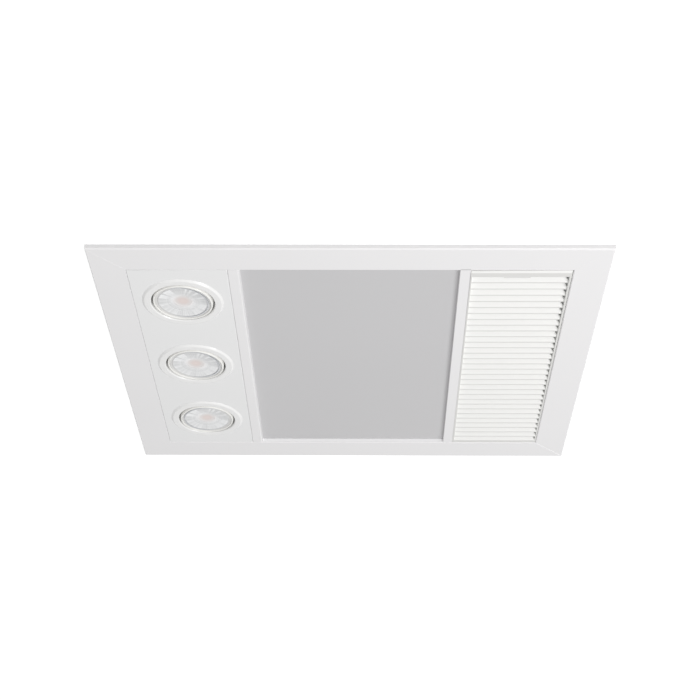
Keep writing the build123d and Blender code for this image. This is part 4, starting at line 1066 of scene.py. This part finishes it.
class HEATER_OT_cassette(bpy.types.Operator):
    """Finish the heater's troughs, tubes, filaments, caps and thermal cut-out"""

    bl_idname = "heater.cassette"
    bl_label = "Heater cassette"

    def execute(self, context):
        dress(bare_metal("bright_aluminium", (0.9, 0.9, 0.9), 0.12), "heater_reflector")
        dress(clear_plastic("quartz", (0.92, 0.93, 0.94), 0.3, 0.05), "quartz_tubes")
        dress(rubbery("carbon_filament", (0.05, 0.05, 0.05), 0.6), "tube_filaments")
        dress(rubbery("steatite", (0.86, 0.84, 0.79), 0.6), "tube_caps")
        dress(galvanised_sheet("bracket_steel", (0.66, 0.67, 0.69)), "tube_brackets")
        dress(bare_metal("cutout_cap", (0.75, 0.75, 0.75), 0.3), "thermal_cutout")
        return {"FINISHED"}


class HEATER_OT_blower(bpy.types.Operator):
    """Finish the blower: scroll, impeller, motor and its plate"""

    bl_idname = "heater.blower"
    bl_label = "Blower"

    def execute(self, context):
        black = moulded_plastic("black_moulding", (0.05, 0.05, 0.052), 0.5)
        dress(black, *[n for n in nodes if n.startswith("impeller")], "scroll_casing")
        dress(galvanised_sheet("plate_steel", (0.66, 0.68, 0.7)), "motor_plate")
        dress(painted("motor_enamel", (0.22, 0.23, 0.25)), "fan_motor")
        dress(bare_metal("shaft_steel", (0.7, 0.7, 0.7), 0.2), "fan_shaft", "motor_bolts")
        return {"FINISHED"}


class HEATER_OT_duct(bpy.types.Operator):
    """Finish the duct spigot and its shutter"""

    bl_idname = "heater.duct"
    bl_label = "Duct"

    def execute(self, context):
        grey = moulded_plastic("grey_moulding", (0.58, 0.59, 0.6), 0.5)
        dress(grey, "duct_spigot", "duct_shutter")
        dress(bare_metal("shutter_pin_steel", (0.7, 0.7, 0.7), 0.25), "shutter_pin")
        return {"FINISHED"}


class HEATER_OT_electrics(bpy.types.Operator):
    """Finish the terminal box, gland, drivers and capacitor"""

    bl_idname = "heater.electrics"
    bl_label = "Electrics"

    def execute(self, context):
        grey = moulded_plastic("box_moulding", (0.6, 0.61, 0.62), 0.5)
        dress(grey, "terminal_box", "terminal_cover")
        dress(moulded_plastic("white_nylon", (0.84, 0.84, 0.81), 0.45), "terminal_block", "led_drivers")
        dress(moulded_plastic("gland_nylon", (0.06, 0.06, 0.06), 0.45), "cable_gland", "gland_nut")
        dress(bare_metal("cover_screw_zinc", (0.72, 0.72, 0.7), 0.3), "cover_screws")
        dress(moulded_plastic("capacitor_case", (0.11, 0.13, 0.19), 0.4), "motor_capacitor")
        return {"FINISHED"}


# ---------------------------------------------------------------- stage


def white_light(tree, kind, strength):
    """A shader that gives white light."""
    node = tree.nodes.new(kind)
    node.inputs["Color"].default_value = (1, 1, 1, 1)
    node.inputs["Strength"].default_value = strength
    return node


def split_by_ray(tree, output, seen, lit):
    """Shows one shader to the camera and in reflections, and another to other light."""
    rays = tree.nodes.new("ShaderNodeLightPath").outputs
    eye = combined(tree, "MAXIMUM", rays["Is Camera Ray"], rays["Is Glossy Ray"])
    eye = combined(tree, "MAXIMUM", eye, rays["Is Transmission Ray"])
    mix = tree.nodes.new("ShaderNodeMixShader")
    tree.links.new(eye, mix.inputs["Fac"])
    tree.links.new(lit.outputs[0], mix.inputs[1])
    tree.links.new(seen.outputs[0], mix.inputs[2])
    tree.links.new(mix.outputs[0], output.inputs["Surface"])


def ceiling_sheet(name, height, hole):
    """A wide sheet with a cut-out for the housing."""
    side = 8
    sheet = inset_sheet(name, side, side, (0, 0, height), (side - 1) / 2)
    bpy.ops.transform.resize(value=(hole[0], hole[1], 1), center_override=(0, 0, height))
    bpy.ops.mesh.delete(type="FACE")
    leave_edit()
    return sheet


def soft_lamp(name, place_at, size, power):
    """A soft white area lamp that looks at the middle of the fascia."""
    light = bpy.data.lights.new(name, "AREA")
    light.shape = "DISK"
    light.size = size
    light.energy = power
    lamp = bpy.data.objects.new(name, light)
    lamp.location = place_at
    lamp.rotation_euler = (-Vector(place_at)).to_track_quat("-Z", "Y").to_euler()
    bpy.context.scene.collection.objects.link(lamp)


class HEATER_OT_stage(bpy.types.Operator):
    """Set the ceiling, the light and the camera"""

    bl_idname = "heater.stage"
    bl_label = "Stage"

    def execute(self, context):
        scene = context.scene
        scene.view_settings.view_transform = "Standard"
        low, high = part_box("housing")
        clearance = 0.002
        hole = (high.x - low.x + clearance, high.y - low.y + clearance)
        sheet = ceiling_sheet("ceiling_underside", 0.0003, hole)
        material, tree, lit = new_material("ceiling_white", (0.65, 0.65, 0.65), 0.9)
        # a share of true shading keeps the object's shadow on the white
        shadow = tree.nodes.new("ShaderNodeBsdfDiffuse")
        shadow.inputs["Color"].default_value = (0.6, 0.6, 0.6, 1)
        seen = tree.nodes.new("ShaderNodeAddShader")
        tree.links.new(white_light(tree, "ShaderNodeEmission", 0.7).outputs[0], seen.inputs[0])
        tree.links.new(shadow.outputs[0], seen.inputs[1])
        split_by_ray(tree, tree.nodes["Material Output"], seen, lit)
        sheet.data.materials.append(material)
        # the room is white to the eye and lights the object with less
        world = scene.world or bpy.data.worlds.new("studio")
        scene.world = world
        world.use_nodes = True
        tree = world.node_tree
        tree.nodes.clear()
        white = white_light(tree, "ShaderNodeBackground", 1.0)
        fill = white_light(tree, "ShaderNodeBackground", 0.48)
        split_by_ray(tree, tree.nodes.new("ShaderNodeOutputWorld"), white, fill)
        soft_lamp("key_lamp", (1.6, -0.85, -1.95), 1.2, 27.5)
        soft_lamp("front_lamp", (0.52, -2.1, -1.55), 0.5, 16)
        soft_lamp("top_lamp", (0.6, -0.8, 1.8), 1.0, 22)
        # camera at the photograph's place, with its focal length in pixels
        focal_length, picture_width = 1378.235, 700
        camera = bpy.data.objects.new("camera", bpy.data.cameras.new("camera"))
        scene.collection.objects.link(camera)
        camera.data.sensor_width = 36.0
        camera.data.lens = focal_length / picture_width * 36.0
        camera.data.clip_start = 0.01
        pitch, yaw, roll = radians(31.49678), radians(-0.888837), radians(0.566796)
        tilt = Matrix.Rotation(pi / 2 + pitch, 4, "X") @ Matrix.Rotation(roll, 4, "Z")
        place_at = Matrix.Translation((0.02032759, -1.40667876, -0.84750284))
        camera.matrix_world = place_at @ Matrix.Rotation(-yaw, 4, "Z") @ tilt
        scene.camera = camera
        return {"FINISHED"}


class HEATER_PT_panel(bpy.types.Panel):
    """The sizes, colours and pieces in the sidebar"""

    bl_idname = "HEATER_PT_panel"
    bl_label = "Bathroom heater"
    bl_space_type = "VIEW_3D"
    bl_region_type = "UI"
    bl_category = "Heater"

    def draw(self, context):
        for group in (context.scene.heater_sizes, context.scene.heater_colours):
            box = self.layout.box()
            for name in group.__annotations__:
                box.prop(group, name)
        for operator in pieces:
            self.layout.operator(operator.bl_idname)


pieces = (
    HEATER_OT_fascia,
    HEATER_OT_light_panel,
    HEATER_OT_window,
    HEATER_OT_lamp_rings,
    HEATER_OT_lamps,
    HEATER_OT_grille,
    HEATER_OT_housing,
    HEATER_OT_cassette,
    HEATER_OT_blower,
    HEATER_OT_duct,
    HEATER_OT_electrics,
    HEATER_OT_stage,
)
classes = (HeaterSizes, HeaterColours, *pieces, HEATER_PT_panel)


def register():
    """Adds the classes and the scene's sizes and colours."""
    for cls in classes:
        bpy.utils.register_class(cls)
    bpy.types.Scene.heater_sizes = PointerProperty(type=HeaterSizes)
    bpy.types.Scene.heater_colours = PointerProperty(type=HeaterColours)


def unregister():
    """Removes what register added."""
    del bpy.types.Scene.heater_colours
    del bpy.types.Scene.heater_sizes
    for cls in reversed(classes):
        bpy.utils.unregister_class(cls)


def main():
    """Builds every piece in order."""
    register()
    for operator in pieces:
        group, name = operator.bl_idname.split(".")
        getattr(getattr(bpy.ops, group), name)()
    clear_selection()


if __name__ == "__main__":
    main()
